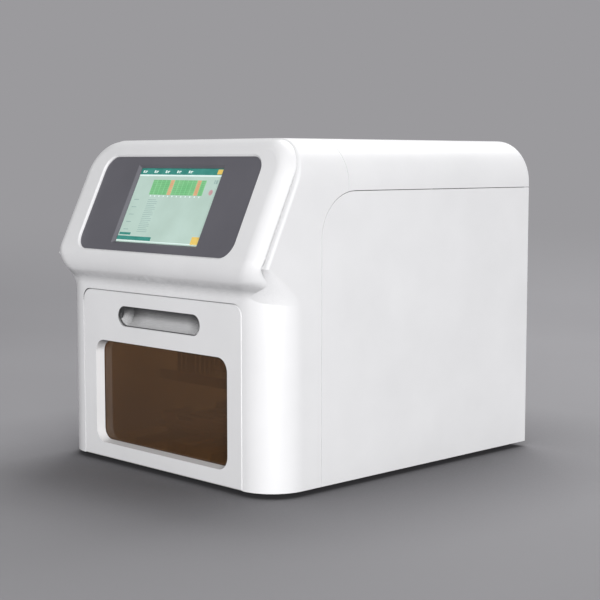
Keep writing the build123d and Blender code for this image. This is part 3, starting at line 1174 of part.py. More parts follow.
def main_board():
    """Controller board on its standoffs, with a heat sink and connectors."""
    x0 = PORTS_X - BOARD_WIDTH / 2
    y1 = Y_REAR_INNER - 6
    y0 = y1 - BOARD_DEPTH
    z0 = Z_PAN + STANDOFF_HEIGHT
    board = block(x0, x0 + BOARD_WIDTH, y0, y1, z0, z0 + BOARD_THICKNESS)
    for x in (x0 + 6, x0 + BOARD_WIDTH - 6):
        for y in (y0 + 6, y1 - 6):
            board += z_prism(x, y, Z_PAN, z0, 3)
    top = z0 + BOARD_THICKNESS
    for fin in range(7):
        x = x0 + 24 + 5 * fin
        board += block(x, x + 1.5, y0 + 30, y0 + 62, top, top + 16)
    board += block(x0 + 22, x0 + 58, y0 + 30, y0 + 62, top, top + 3)
    for step in range(3):
        board += block(x0 + 76 + 22 * step, x0 + 92 + 22 * step, y0 + 6, y0 + 16, top, top + 9)
    return board


def port_block():
    """Two USB sockets and a network socket at the board's rear edge."""
    base = Z_PAN + STANDOFF_HEIGHT + BOARD_THICKNESS
    y0 = Y_REAR_INNER - PORTS_DEPTH
    ports = []
    for x, width, height, deep in ((-25, 14, 7.5, 12), (-6, 14, 7.5, 12), (20, 16.5, 14, 14)):
        shell = block(PORTS_X + x - width / 2, PORTS_X + x + width / 2, y0, Y_REAR_PANEL - 0.2,
                      base, base + height)
        shell -= block(PORTS_X + x - width / 2 + 1, PORTS_X + x + width / 2 - 1, Y_REAR_PANEL - deep,
                       Y_REAR_PANEL + 1, base + 1, base + height - 1)
        ports.append(shell.solid())
    return Compound(ports)


def power_supply():
    """Enclosed power supply on the pan, with a slotted lid."""
    x0 = SUPPLY_MARGIN - HALF_WIDTH
    x1 = -MOTOR_SIZE / 2 - 5
    y1 = Y_REAR_INNER - SUPPLY_CLEARANCE
    supply = block(x0, x1, y1 - SUPPLY_DEPTH, y1, Z_PAN, Z_PAN + SUPPLY_HEIGHT)
    supply = chamfer(supply.faces().sort_by(Axis.Z)[-1].edges(), 1)
    for row in range(6):
        x = x1 - 50 - 14 * row
        slot = Pos(x, y1 - SUPPLY_DEPTH / 2, Z_PAN + SUPPLY_HEIGHT) * Rectangle(5, 60)
        supply -= extrude(slot, -3)
    return supply


# ------------------------------------------------------------- the nodes
def build():
    """Every node by name."""
    core = inner_form()
    skin = fascia_form() + sides_form() - core
    right_panel = side_panel(skin)
    return {
        "front_shell": front_shell(skin),
        "top_cover": top_cover(skin),
        "side_panel_right": right_panel,
        "side_panel_left": mirrored(right_panel),
        "base_pan": base_pan(),
        "rubber_feet": rubber_feet(),
        "rear_panel": rear_panel(),
        "control_panel": control_panel(core),
        "touch_glass": touch_glass(),
        "display_module": display_module(),
        "display_bracket": display_bracket(),
        "door_shell": door_shell(),
        "door_liner": door_liner(),
        "window_pane": window_pane(),
        "window_gasket": window_gasket(),
        "door_magnets": door_magnets(),
        "magnet_catches": magnet_catches(),
        "door_seal": door_seal(),
        "hinge_brackets": hinge_brackets(),
        "hinge_pins": hinge_pins(),
        "chamber_floor": chamber_floor(),
        "chamber_wall_right": chamber_wall(),
        "chamber_wall_left": mirrored(chamber_wall()),
        "chamber_back": chamber_back(),
        "chamber_ceiling": chamber_ceiling(),
        "uv_lamp": uv_lamp(),
        "lamp_holders": lamp_holders(),
        "stage_rails": stage_rails(),
        "stage_guides": stage_guides(),
        "stage_plate": stage_plate(),
        "stage_nut": stage_nut(),
        "heater_blocks": heater_blocks(),
        "plate_nests": plate_nests(),
        "stage_screw": stage_screw(),
        "stage_bearing": stage_bearing(),
        "stage_motor": stage_motor(),
        "lift_tower": lift_tower(),
        "lift_rails": lift_rails(),
        "lift_motor": lift_motor(),
        "lift_bearing": lift_bearing(),
        "lift_screw": lift_screw(),
        "sleeve_carrier": sleeve_carrier(),
        "lift_guides": lift_guides(),
        "lift_nut": lift_nut(),
        "rod_motor": rod_motor(),
        "rod_guides": rod_guides(),
        "rod_plate": rod_plate(),
        "magnetic_rods": magnetic_rods(),
        "rod_bushes": rod_bushes(),
        "rod_screw": rod_screw(),
        "fan_frame": fan_frame(),
        "fan_rotor": fan_rotor(),
        "fan_guard": fan_guard(),
        "ac_inlet": ac_inlet(),
        "switch_frame": switch_frame(),
        "power_rocker": power_rocker(),
        "main_board": main_board(),
        "port_block": port_block(),
        "power_supply": power_supply(),
    }


os.makedirs("parts", exist_ok=True)
for name, shape in build().items():
    export_step(shape, f"parts/{name}.step")
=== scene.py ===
"""A bench-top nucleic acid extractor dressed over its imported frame: finishes, screen, fasteners, light."""
import json
import math
import bpy
from mathutils import Matrix, Vector


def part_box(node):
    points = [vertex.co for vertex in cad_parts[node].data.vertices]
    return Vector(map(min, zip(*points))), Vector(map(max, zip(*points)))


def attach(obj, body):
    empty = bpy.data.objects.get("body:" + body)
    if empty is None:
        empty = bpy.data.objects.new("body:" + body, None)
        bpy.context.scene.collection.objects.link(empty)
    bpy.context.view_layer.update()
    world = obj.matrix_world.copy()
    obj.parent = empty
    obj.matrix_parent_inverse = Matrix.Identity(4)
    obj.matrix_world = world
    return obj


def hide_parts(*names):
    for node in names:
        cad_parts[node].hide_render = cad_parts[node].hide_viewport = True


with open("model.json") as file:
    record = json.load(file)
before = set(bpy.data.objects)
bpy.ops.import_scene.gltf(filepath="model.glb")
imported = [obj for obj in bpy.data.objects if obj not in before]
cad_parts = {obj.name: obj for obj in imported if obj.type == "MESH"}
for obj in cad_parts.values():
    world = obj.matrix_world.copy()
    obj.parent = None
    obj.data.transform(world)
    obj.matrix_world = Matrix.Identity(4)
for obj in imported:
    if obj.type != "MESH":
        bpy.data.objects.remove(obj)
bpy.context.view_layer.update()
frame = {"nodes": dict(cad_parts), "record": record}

MM = 0.001
SLOPE_ANGLE = math.radians(25.8)


# ---------------------------------------------------------------- material helpers

def linear(hex_code):
    """An sRGB hex colour as linear red, green, blue and alpha."""
    channels = [int(hex_code[place:place + 2], 16) / 255 for place in (1, 3, 5)]
    return [c / 12.92 if c <= 0.04045 else ((c + 0.055) / 1.055) ** 2.4 for c in channels] + [1]


def per_metre(size_mm):
    """A pattern's scale in object coordinates, from its real size in millimetres."""
    return 1000 / size_mm


def blank(name, **sockets):
    """A new material with its node tree and main shader, and the shader's constant sockets set."""
    material = bpy.data.materials.new(name)
    material.use_nodes = True
    shader = material.node_tree.nodes["Principled BSDF"]
    for socket, value in sockets.items():
        shader.inputs[socket.replace("_", " ")].default_value = value
    return material, material.node_tree, shader


def add(tree, kind, settings=None, links=None):
    """One node of this kind. Settings go to its properties or sockets, and links feed its sockets.
    Sockets that share a name are given by number."""
    node = tree.nodes.new("ShaderNode" + kind)
    for name, value in (settings or {}).items():
        if isinstance(name, str) and name not in node.inputs:
            setattr(node, name, value)
        else:
            node.inputs[name].default_value = value
    for name, socket in (links or {}).items():
        tree.links.new(socket, node.inputs[name])
    return node


def object_place(tree, scale=(1, 1, 1), turn=(0, 0, 0)):
    """Object coordinates, stretched or turned for a pattern with a direction."""
    source = add(tree, "TexCoord")
    mapping = add(tree, "Mapping", {"Scale": scale, "Rotation": turn}, {"Vector": source.outputs["Object"]})
    return mapping.outputs[0]


def noise(tree, place, size_mm, detail=2):
    """The value of a noise whose lumps are about this many millimetres."""
    cloud = add(tree, "TexNoise", {"Scale": per_metre(size_mm), "Detail": detail}, {"Vector": place})
    return cloud.outputs[0]


def tinted(tree, shader, factor, dark, light):
    """Base colour between two hex tones."""
    ramp = add(tree, "ValToRGB", links={"Fac": factor})
    ramp.color_ramp.elements[0].position = 0.3
    ramp.color_ramp.elements[1].position = 0.7
    ramp.color_ramp.elements[0].color = linear(dark)
    ramp.color_ramp.elements[1].color = linear(light)
    tree.links.new(ramp.outputs["Color"], shader.inputs["Base Color"])
    return ramp


def glossed(tree, shader, factor, low, high):
    """Roughness between two values."""
    gloss = add(tree, "MapRange", {"To Min": low, "To Max": high}, {"Value": factor})
    tree.links.new(gloss.outputs["Result"], shader.inputs["Roughness"])


def raised(tree, shader, height, depth_mm, strength=1.0):
    """Relief of this depth."""
    relief = add(tree, "Bump", {"Distance": depth_mm * MM, "Strength": strength}, {"Height": height})
    tree.links.new(relief.outputs["Normal"], shader.inputs["Normal"])


def grained(name, dark, light, roughness, grain_mm, depth_mm, cloud_mm=80, **sockets):
    """A moulded or coated finish: a fine grain in relief, a slow drift of tone, a slight change of gloss."""
    material, tree, shader = blank(name, **sockets)
    place = object_place(tree)
    grain = noise(tree, place, grain_mm)
    tinted(tree, shader, noise(tree, place, cloud_mm, 3), dark, light)
    glossed(tree, shader, grain, roughness - 0.05, roughness + 0.05)
    raised(tree, shader, grain, depth_mm)
    return material


def worked(name, dark, light, roughness, line_mm, stretch, depth_mm=0.01, **sockets):
    """A metal drawn, ground or turned along one direction: long thin lines of tone, gloss and relief."""
    material, tree, shader = blank(name, Metallic=1.0, **sockets)
    place = object_place(tree, stretch)
    lines = noise(tree, place, line_mm, 3)
    tinted(tree, shader, lines, dark, light)
    glossed(tree, shader, lines, roughness - 0.06, roughness + 0.08)
    raised(tree, shader, lines, depth_mm)
    return material


def painted_occlusion_shade(tree, shader, reach_mm, dark, low, high, downward_shade=0.0, alone=True):
    """Painted shade: the base colour darkened towards the dark tone in hollows of about this reach, the more
    so on faces that look down.
    The unshaded share runs from low (dark) to high (the plain colour). Alone counts only the piece's own
    walls."""
    plain = shader.inputs["Base Color"].links[0].from_socket
    # Painted shade: ambient occlusion and the face's downward lean set how far the colour goes dark
    shelter = add(tree, "AmbientOcclusion", {"Distance": reach_mm * MM, "samples": 8, "only_local": alone})
    normal = add(tree, "NewGeometry").outputs["Normal"]
    upward = add(tree, "SeparateXYZ", links={"Vector": normal}).outputs["Z"]
    leaning = add(tree, "Math", {"operation": "MULTIPLY_ADD", 1: downward_shade},
                  {0: upward, 2: shelter.outputs["AO"]})
    unshaded_share = add(tree, "MapRange", {"From Min": low, "From Max": high}, {"Value": leaning.outputs[0]})
    mixed = add(tree, "Mix", {"data_type": "RGBA"})
    mixed.inputs[6].default_value = linear(dark)
    tree.links.new(unshaded_share.outputs["Result"], mixed.inputs[0])
    tree.links.new(plain, mixed.inputs[7])
    tree.links.new(mixed.outputs[2], shader.inputs["Base Color"])


# ---------------------------------------------------------------- finishes

def pearl_abs():
    """Moulded ABS from a finely etched mould: satin white and broad soft highlights, with painted shade
    darkening its hollows and its faces that look down.
    """
    material = grained("moulded_abs_pearl_white", "#f0f0f1", "#f5f5f6", 0.42, 1.4, 0.012)
    tree = material.node_tree
    # Painted shade: the colour goes towards #3b3b3c in hollows such as the grip and on faces that look down
    painted_occlusion_shade(tree, tree.nodes["Principled BSDF"], 30, "#3b3b3c", low=0.66, high=0.86, downward_shade=0.25)
    return material


def dark_abs():
    """Moulded ABS, dark grey with a blue cast: matt, so the screen stands out of it."""
    return grained("moulded_abs_dark_grey", "#636269", "#6a6970", 0.5, 1.1, 0.02)


def inner_abs():
    """Moulded ABS behind the door: satin white, a little greyer than the shell."""
    return grained("moulded_abs_satin_white", "#dededd", "#e6e6e4", 0.5, 1.4, 0.02)


def powder_coat(name, dark, light):
    """Powder-coated sheet steel: an even orange-peel skin with a soft gloss."""
    return grained(name, dark, light, 0.48, 2.2, 0.03, Coat_Weight=0.15)


def rubber(name, tone_dark, tone_light):
    """Moulded or extruded rubber: near black, dull, with a dusty bloom."""
    return grained(name, tone_dark, tone_light, 0.82, 0.9, 0.03, 25)


def nylon(name, dark, light, roughness):
    """Moulded nylon or PBT: dark, with the faint swirl of its glass filling."""
    return grained(name, dark, light, roughness, 1.2, 0.015, 18)


def acetal():
    """Machined acetal: warm white, waxy, with faint cutter lines."""
    material, tree, shader = blank("machined_acetal", IOR=1.48)
    place = object_place(tree, (1, 6, 6))
    lines = noise(tree, place, 3)
    tinted(tree, shader, lines, "#dcd9cd", "#e6e3d8")
    glossed(tree, shader, lines, 0.4, 0.52)
    raised(tree, shader, lines, 0.02)
    return material


def smoked_acrylic():
    """Cast acrylic, smoked brown, with a coat against glare: deep brown, and the chamber shows faintly."""
    material, tree, shader = blank("cast_acrylic_smoked", IOR=1.49, Roughness=0.04,
                                   Transmission_Weight=0.72, Specular_IOR_Level=0.2)
    place = object_place(tree)
    tinted(tree, shader, noise(tree, place, 120, 2), "#76532f", "#805c38")
    return material


def touch_glass():
    """Hard-coated glass over a lit display: a pale mint ground that glows evenly under a thin gloss."""
    material, tree, shader = blank("hard_coated_touch_glass", Roughness=0.16, Emission_Strength=0.3)
    place = object_place(tree)
    ramp = tinted(tree, shader, noise(tree, place, 45, 3), "#b2c9be", "#bcd3c9")
    tree.links.new(ramp.outputs["Color"], shader.inputs["Emission Color"])
    return material


def quartz_tube():
    """Quartz glass tube of a lamp: clear with a cold cast, hazed by the coating inside."""
    material, tree, shader = blank("drawn_quartz_glass", IOR=1.46, Transmission_Weight=0.5,
                                   Emission_Strength=0.05)
    place = object_place(tree, (0.2, 1, 1))
    haze = noise(tree, place, 6)
    tinted(tree, shader, haze, "#c9d6ea", "#dfe8f4")
    glossed(tree, shader, haze, 0.08, 0.2)
    return material


def sintered_bronze():
    """Sintered bronze: brown-gold, pitted all over with fine pores."""
    material, tree, shader = blank("sintered_bronze", Metallic=1.0)
    place = object_place(tree)
    pores = add(tree, "TexVoronoi", {"Scale": per_metre(0.8)}, {"Vector": place}).outputs["Distance"]
    tinted(tree, shader, pores, "#6f5430", "#b48a52")
    glossed(tree, shader, pores, 0.3, 0.5)
    raised(tree, shader, pores, 0.04)
    return material


def circuit_board():
    """Glass-epoxy circuit board: green lacquer over the paler ghosts of copper tracks."""
    material, tree, shader = blank("glass_epoxy_board", Roughness=0.35)
    place = object_place(tree, (1, 1, 0.3))
    tracks = add(tree, "TexVoronoi", {"Scale": per_metre(5), "distance": "CHEBYCHEV"}, {"Vector": place})
    tinted(tree, shader, tracks.outputs["Distance"], "#1f6b3c", "#2f8a52")
    raised(tree, shader, tracks.outputs["Distance"], 0.05)
    return material


def lit(name, dark, light, strength=0.35):
    """Lit picture elements behind hard-coated glass: a flat clear tone that glows a little."""
    material, tree, shader = blank(name, Roughness=0.16, Emission_Strength=strength)
    place = object_place(tree)
    ramp = tinted(tree, shader, noise(tree, place, 14, 2), dark, light)
    tree.links.new(ramp.outputs["Color"], shader.inputs["Emission Color"])
    return material


ALONG_X = (0.04, 1, 1)
ALONG_Y = (1, 0.04, 1)
ALONG_Z = (1, 1, 0.04)

FINISHES = {
    "shell_white": pearl_abs(),
    "panel_grey": dark_abs(),
    "screen": touch_glass(),
    "display_metal": worked("tinned_steel", "#9c9da0", "#b4b5b8", 0.3, 1.5, ALONG_X),
    "zinc_steel": worked("zinc_plated_steel", "#a9adb2", "#c3c6ca", 0.34, 2.5, (1, 1, 1)),
    "pan_paint": powder_coat("powder_coat_light_grey", "#c9cacb", "#d0d1d2"),
    "chamber_paint": powder_coat("powder_coat_pale_grey", "#d8dadb", "#e0e1e2"),
    "foot_rubber": rubber("moulded_rubber", "#1c1c1d", "#262627"),
    "seal_rubber": rubber("extruded_rubber", "#333334", "#3e3e40"),
    "pane_acrylic": smoked_acrylic(),
    "liner_white": inner_abs(),
    "magnet": worked("nickel_plated_magnet", "#b9b6ad", "#cfccc4", 0.2, 1.2, (1, 1, 1)),
    "pin_steel": worked("ground_pin_steel", "#b4b5b8", "#cbccce", 0.22, 0.8, ALONG_X),
    "lamp_glass": quartz_tube(),
    "holder_plastic": grained("moulded_polycarbonate", "#d9d9d2", "#e2e2dc", 0.32, 1.6, 0.01, IOR=1.58),
    "rail_steel": worked("hardened_ground_steel", "#9b9da1", "#b3b5b9", 0.24, 0.7, ALONG_Y),
    "screw_steel": worked("rolled_screw_steel", "#a1a2a6", "#bbbcc0", 0.28, 0.9, ALONG_Y),
    "rod_steel": worked("drawn_stainless_sleeve", "#b9babd", "#d2d3d6", 0.18, 0.8, ALONG_Z),
    "bronze": sintered_bronze(),
    "anodised": worked("clear_anodised_aluminium", "#b5b7bb", "#c8cacd", 0.38, 1.2, ALONG_X),
    "heater_metal": worked("hard_anodised_aluminium", "#8f9094", "#a3a4a8", 0.42, 1.2, ALONG_Y),
    "nest_plastic": acetal(),
    "motor_black": worked("laminated_motor_steel", "#26272a", "#3a3b3e", 0.45, 0.9, (0.04, 0.04, 1)),
    "fan_plastic": nylon("moulded_glass_filled_pbt", "#1b1b1c", "#242425", 0.5),
    "guard_steel": worked("nickel_plated_steel", "#b4b5b6", "#cdcecf", 0.2, 1.2, (1, 1, 1)),
    "inlet_plastic": nylon("moulded_nylon", "#161617", "#1f1f20", 0.45),
    "rocker_plastic": nylon("polished_moulded_nylon", "#1a1a1b", "#222223", 0.25),
    "board_green": circuit_board(),
    "port_metal": worked("nickel_plated_shell", "#b0b1b3", "#c8c9cb", 0.24, 1.0, ALONG_X),
    "supply_metal": worked("mill_finish_aluminium", "#a9abaf", "#bfc1c4", 0.4, 1.5, ALONG_Y),
}

for subpart in frame["record"]["subparts"]:
    mesh = frame["nodes"][subpart["node"]].data
    mesh.materials.clear()
    mesh.materials.append(FINISHES[subpart["material_slot"]])


# ---------------------------------------------------------------- modelling helpers

def start():
    """Nothing selected, so that an operator acts only on what is made next."""
    bpy.ops.object.select_all(action="DESELECT")


def slab(width, height, rise, at=(0, 0)):
    """A thin plate on the ground plane, raised by its thickness."""
    start()
    bpy.ops.mesh.primitive_plane_add(size=1, location=(at[0], at[1], 0))
    piece = bpy.context.object
    piece.scale = (width, height, 1)
    bpy.ops.object.transform_apply()
    bpy.ops.object.mode_set(mode="EDIT")
    bpy.ops.mesh.extrude_region_move(TRANSFORM_OT_translate={"value": (0, 0, rise)})
    bpy.ops.mesh.select_all(action="SELECT")
    bpy.ops.mesh.normals_make_consistent(inside=False)
    bpy.ops.object.mode_set(mode="OBJECT")
    return piece


def disc(radius, rise, at=(0, 0), sides=24):
    """A thin round plate on the ground plane."""
    start()
    bpy.ops.mesh.primitive_circle_add(vertices=sides, radius=radius, fill_type="NGON",
                                      location=(at[0], at[1], 0))
    piece = bpy.context.object
    bpy.ops.object.mode_set(mode="EDIT")
    bpy.ops.mesh.extrude_region_move(TRANSFORM_OT_translate={"value": (0, 0, rise)})
    bpy.ops.mesh.select_all(action="SELECT")
    bpy.ops.mesh.normals_make_consistent(inside=False)
    bpy.ops.object.mode_set(mode="OBJECT")
    return piece


def pick(piece, chosen):
    """Goes into edit mode with only those corners selected whose place passes the test."""
    start()
    piece.select_set(True)
    bpy.context.view_layer.objects.active = piece
    bpy.ops.object.mode_set(mode="EDIT")
    bpy.ops.mesh.select_mode(type="VERT")
    bpy.ops.mesh.select_all(action="DESELECT")
    bpy.ops.object.mode_set(mode="OBJECT")
    for vertex in piece.data.vertices:
        vertex.select = chosen(vertex.co)
    bpy.ops.object.mode_set(mode="EDIT")


def joined(name, pieces):
    """Several objects as one piece."""
    start()
    for piece in pieces:
        piece.select_set(True)
    bpy.context.view_layer.objects.active = pieces[0]
    if len(pieces) > 1:
        bpy.ops.object.join()
    whole = bpy.context.object
    whole.name = name
    whole.data.name = name
    return whole


def placed(piece, matrix):
    """Moves a piece by a matrix and leaves the place in its mesh."""
    start()
    piece.select_set(True)
    bpy.context.view_layer.objects.active = piece
    piece.matrix_world = matrix @ piece.matrix_world
    bpy.ops.object.transform_apply(location=True, rotation=True, scale=True)
    return piece


def fitted(piece, finish, body):
    """Gives a piece its finish and its body."""
    piece.data.materials.clear()
    piece.data.materials.append(finish)
    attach(piece, body)
    return piece


def softened(piece, chosen, width, steps=2):
    """Bevels the edges between the corners that pass the test."""
    pick(piece, chosen)
    bpy.ops.mesh.bevel(offset=width, segments=steps, affect="EDGES")
    bpy.ops.object.mode_set(mode="OBJECT")
    return piece


def cut_out(piece, cutter):
    """Takes the form of one piece out of another."""
    start()
    bpy.context.view_layer.objects.active = piece
    cut = piece.modifiers.new("cut", "BOOLEAN")
    cut.operation = "DIFFERENCE"
    cut.object = cutter
    bpy.ops.object.modifier_apply(modifier="cut")
    bpy.data.objects.remove(cutter)
    return piece


def spread(template, spots, turn):
    """Copies of one piece, each with its own mesh, turned and put at the spots. The template is dropped."""
    copies = []
    for spot in spots:
        copy = template.copy()
        copy.data = template.data.copy()
        bpy.context.scene.collection.objects.link(copy)
        copies.append(placed(copy, Matrix.Translation(spot) @ turn))
    bpy.data.objects.remove(template)
    return copies


# ---------------------------------------------------------------- fasteners

UPWARD = Matrix.Identity(4)
REARWARD = Matrix.Rotation(-math.pi / 2, 4, "X")
DOWNWARD = Matrix.Rotation(math.pi, 4, "X")


def raised_slab(width, height, rise, level):
    """A plate that starts at a level above the ground plane."""
    return placed(slab(width, height, rise), Matrix.Translation((0, 0, level)))


def pan_head(radius):
    """A domed screw head with a cross recess, standing on the ground plane."""
    rise = radius * 0.6
    reach = radius * 1.1
    slot = radius * 0.26
    recess_floor = rise * 0.45
    head = softened(disc(radius, rise, sides=20), lambda place: place.z > rise / 2, rise * 0.6, 3)
    for width, height in ((reach, slot), (slot, reach)):
        head = cut_out(head, raised_slab(width, height, rise, recess_floor))
    return head


def socket_head(radius, rise):
    """A cylindrical screw head with a six-sided socket."""
    head = softened(disc(radius, rise, sides=20), lambda place: place.z > rise / 2, radius * 0.12)
    socket = placed(disc(radius * 0.5, rise, sides=6), Matrix.Translation((0, 0, rise * 0.4)))
    return cut_out(head, socket)


def hex_nut(radius, rise):
    """A six-sided nut with its upper rim broken."""
    return softened(disc(radius, rise, sides=6), lambda place: place.z > rise / 2, radius * 0.12)


def level_of(node, axis, side):
    """The coordinate of a node's face: side 0 is the low one, side 1 the high one."""
    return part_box(node)[side][axis]


def fixings(name, template, spots, turn, body):
    """Zinc-plated fasteners of one kind, joined as a piece that rides a body."""
    return fitted(joined(name, spread(template, spots, turn)), FINISHES["zinc_steel"], body)


SIDES = (-1, 1)
REAR_SCREW_X = 178 * MM
REAR_SCREW_HEIGHTS = (30, 150, 270, 370)
rear_face = level_of("rear_panel", 1, 1)
rear_spots = [(side * REAR_SCREW_X, rear_face, height * MM)
              for side in SIDES for height in REAR_SCREW_HEIGHTS]
fixings("rear_panel_screws", pan_head(3 * MM), rear_spots, REARWARD, "housing")

FAN_HOLE_STEP = 35.75 * MM
fan_low, fan_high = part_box("fan_guard")
fan_middle = (fan_low + fan_high) / 2
fan_spots = [(fan_middle.x + across * FAN_HOLE_STEP, fan_high.y, fan_middle.z + up * FAN_HOLE_STEP)
             for across in SIDES for up in SIDES]
fixings("fan_screws", pan_head(3.2 * MM), fan_spots, REARWARD, "housing")

INLET_HOLE_STEP = 20.5 * MM
inlet_low, inlet_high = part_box("ac_inlet")
inlet_middle = (inlet_low + inlet_high) / 2
inlet_spots = [(inlet_middle.x + side * INLET_HOLE_STEP, inlet_high.y, inlet_middle.z) for side in SIDES]
fixings("inlet_screws", pan_head(2.4 * MM), inlet_spots, REARWARD, "housing")

PAN_SCREW_X = 176 * MM
PAN_SCREW_ROWS = (-100, 20, 120, 212)
pan_underside = level_of("base_pan", 2, 0)
pan_spots = [(side * PAN_SCREW_X, row * MM, pan_underside) for side in SIDES for row in PAN_SCREW_ROWS]
fixings("base_pan_screws", pan_head(3 * MM), pan_spots, DOWNWARD, "housing")

STAGE_SCREW_X = 100 * MM
STAGE_SCREW_ROWS = (-126, -68, -10)
stage_top = level_of("stage_plate", 2, 1)
stage_spots = [(side * STAGE_SCREW_X, row * MM, stage_top) for side in SIDES for row in STAGE_SCREW_ROWS]
fixings("stage_screws", socket_head(2.8 * MM, 2.6 * MM), stage_spots, UPWARD, "stage")

LINER_SCREW_X = 112 * MM
LINER_SCREW_HEIGHT = 165 * MM
liner_back = level_of("door_liner", 1, 1)
liner_spots = [(side * LINER_SCREW_X, liner_back, LINER_SCREW_HEIGHT) for side in SIDES]
fixings("liner_screws", pan_head(2.4 * MM), liner_spots, REARWARD, "door")


# ---------------------------------------------------------------- threads and sheathed rods

def thread(core, crest, lead, starts, length):
    """A threaded rod standing on the ground plane: its profile screwed along, then cut square at its ends."""
    foot = 1.5 * lead
    start()
    bpy.ops.mesh.primitive_plane_add(size=MM)
    rod = bpy.context.object
    bpy.ops.object.mode_set(mode="EDIT")
    bpy.ops.mesh.merge(type="CENTER")
    bpy.ops.transform.translate(value=(core, 0, 0))
    pitch = lead / starts
    for ridge in range(starts):
        for out, along in ((0, 0.2), (crest - core, 0.3), (0, 0.2), (core - crest, 0.3)):
            bpy.ops.mesh.extrude_region_move(TRANSFORM_OT_translate={"value": (out, 0, along * pitch)})
    bpy.ops.object.mode_set(mode="OBJECT")
    turned = rod.modifiers.new("turned", "SCREW")
    turned.screw_offset = lead
    turned.iterations = math.ceil(length / lead) + 3
    turned.steps = THREAD_SIDES
    turned.render_steps = THREAD_SIDES
    turned.use_smooth_shade = False
    bpy.ops.object.modifier_apply(modifier="turned")
    bpy.ops.object.mode_set(mode="EDIT")
    bpy.ops.mesh.select_all(action="SELECT")
    bpy.ops.mesh.remove_doubles(threshold=MM / 100)
    bpy.ops.mesh.select_all(action="SELECT")
    bpy.ops.mesh.bisect(plane_co=(0, 0, foot), plane_no=(0, 0, 1), use_fill=True, clear_inner=True)
    bpy.ops.mesh.select_all(action="SELECT")
    bpy.ops.mesh.bisect(plane_co=(0, 0, foot + length), plane_no=(0, 0, 1), use_fill=True, clear_outer=True)
    bpy.ops.mesh.select_all(action="SELECT")
    bpy.ops.mesh.normals_make_consistent(inside=False)
    bpy.ops.object.mode_set(mode="OBJECT")
    return placed(rod, Matrix.Translation((0, 0, -foot)))


LEAD = 8 * MM
STARTS = 4
THREAD_SIDES = 14
ROOT_DEPTH = 0.7 * MM
CREST_GAP = 0.02 * MM
for node, body, axis, turn in (("stage_screw", "stage_drive", 1, REARWARD),
                               ("lift_screw", "lift_drive", 2, UPWARD),
                               ("rod_screw", "rod_drive", 2, UPWARD)):
    screw_low, screw_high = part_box(node)
    crest = (screw_high.x - screw_low.x) / 2
    rod = thread(crest - ROOT_DEPTH, crest - CREST_GAP, LEAD, STARTS, screw_high[axis] - screw_low[axis])
    end = (screw_low + screw_high) / 2
    end[axis] = screw_low[axis]
    rod = joined(node + "_thread", [placed(rod, Matrix.Translation(end) @ turn)])
    fitted(rod, FINISHES["screw_steel"], body)
    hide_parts(node)

ROD_RADIUS = 2.5 * MM
ROD_STEP = 9 * MM
ROD_TIP = 2 * MM
BANK_OFFSET = 48.75 * MM
BANK_SIZE = 8
SMOOTH_BELOW = math.radians(35)
rods_low, rods_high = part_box("magnetic_rods")
rod_length = rods_high.z - rods_low.z
sleeve = softened(disc(ROD_RADIUS, rod_length, sides=16), lambda place: place.z < MM, ROD_TIP, 3)
rod_spots = [(bank * BANK_OFFSET + (place - (BANK_SIZE - 1) / 2) * ROD_STEP, row, rods_low.z)
             for bank in SIDES for place in range(BANK_SIZE)
             for row in (rods_low.y + ROD_RADIUS, rods_high.y - ROD_RADIUS)]
rods = joined("magnetic_rod_sleeves", spread(sleeve, rod_spots, UPWARD))
bpy.ops.object.shade_smooth_by_angle(angle=SMOOTH_BELOW)
fitted(rods, FINISHES["rod_steel"], "rod_head")
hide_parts("magnetic_rods")

rod_plate_top = level_of("rod_plate", 2, 1)
nut_spots = [(x, y, rod_plate_top) for x, y, _ in rod_spots]
fixings("rod_nuts", hex_nut(3.8 * MM, 2.4 * MM), nut_spots, UPWARD, "rod_head")


# ---------------------------------------------------------------- the switch's marks

ROCKER_TILT = math.radians(9)
ROCKER_DISH = 1.6 * MM
MARK_OFFSET = 5.2 * MM
MARK_THICKNESS = 0.1 * MM
rocker_low, rocker_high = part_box("power_rocker")
rocker_middle = (rocker_low + rocker_high) / 2
rocker_face = Vector((rocker_middle.x, rocker_high.y - ROCKER_DISH, rocker_middle.z))
stroke = placed(slab(0.8 * MM, 4 * MM, MARK_THICKNESS), Matrix.Translation((0, MARK_OFFSET, 0)))
bore = placed(disc(1.5 * MM, 3 * MARK_THICKNESS), Matrix.Translation((0, 0, -MARK_THICKNESS)))
ring = cut_out(disc(2.2 * MM, MARK_THICKNESS), bore)
ring = placed(ring, Matrix.Translation((0, -MARK_OFFSET, 0)))
marks = joined("rocker_marks", [stroke, ring])
marks_turn = Matrix.Rotation(-math.pi / 2 + ROCKER_TILT, 4, "X") @ Matrix.Rotation(math.pi, 4, "Z")
marks = placed(marks, Matrix.Translation(rocker_face) @ marks_turn)
fitted(marks, lit("pad_printed_white", "#dfe0e0", "#eceded", 0.0), "switch")


# ---------------------------------------------------------------- the lit screen

SCREEN_WIDTH = 151 * MM
SCREEN_HEIGHT = 96 * MM
GLASS_PROUD = 0.06 * MM
glass_low, glass_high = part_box("touch_glass")
GLASS_THICKNESS = 1.5 * MM
glass_middle = (glass_low + glass_high) / 2
outward = Vector((0, -math.cos(SLOPE_ANGLE), math.sin(SLOPE_ANGLE)))
screen_face = glass_middle + outward * GLASS_THICKNESS / 2
screen_place = Matrix.Translation(screen_face) @ Matrix.Rotation(math.pi / 2 - SLOPE_ANGLE, 4, "X")


def tile(left, top, width, height, rise=GLASS_PROUD):
    """A rectangle of the screen, from its left and top as shares of the screen."""
    middle = ((left + width / 2 - 0.5) * SCREEN_WIDTH, (0.5 - top - height / 2) * SCREEN_HEIGHT)
    return slab(width * SCREEN_WIDTH, height * SCREEN_HEIGHT, rise, middle)


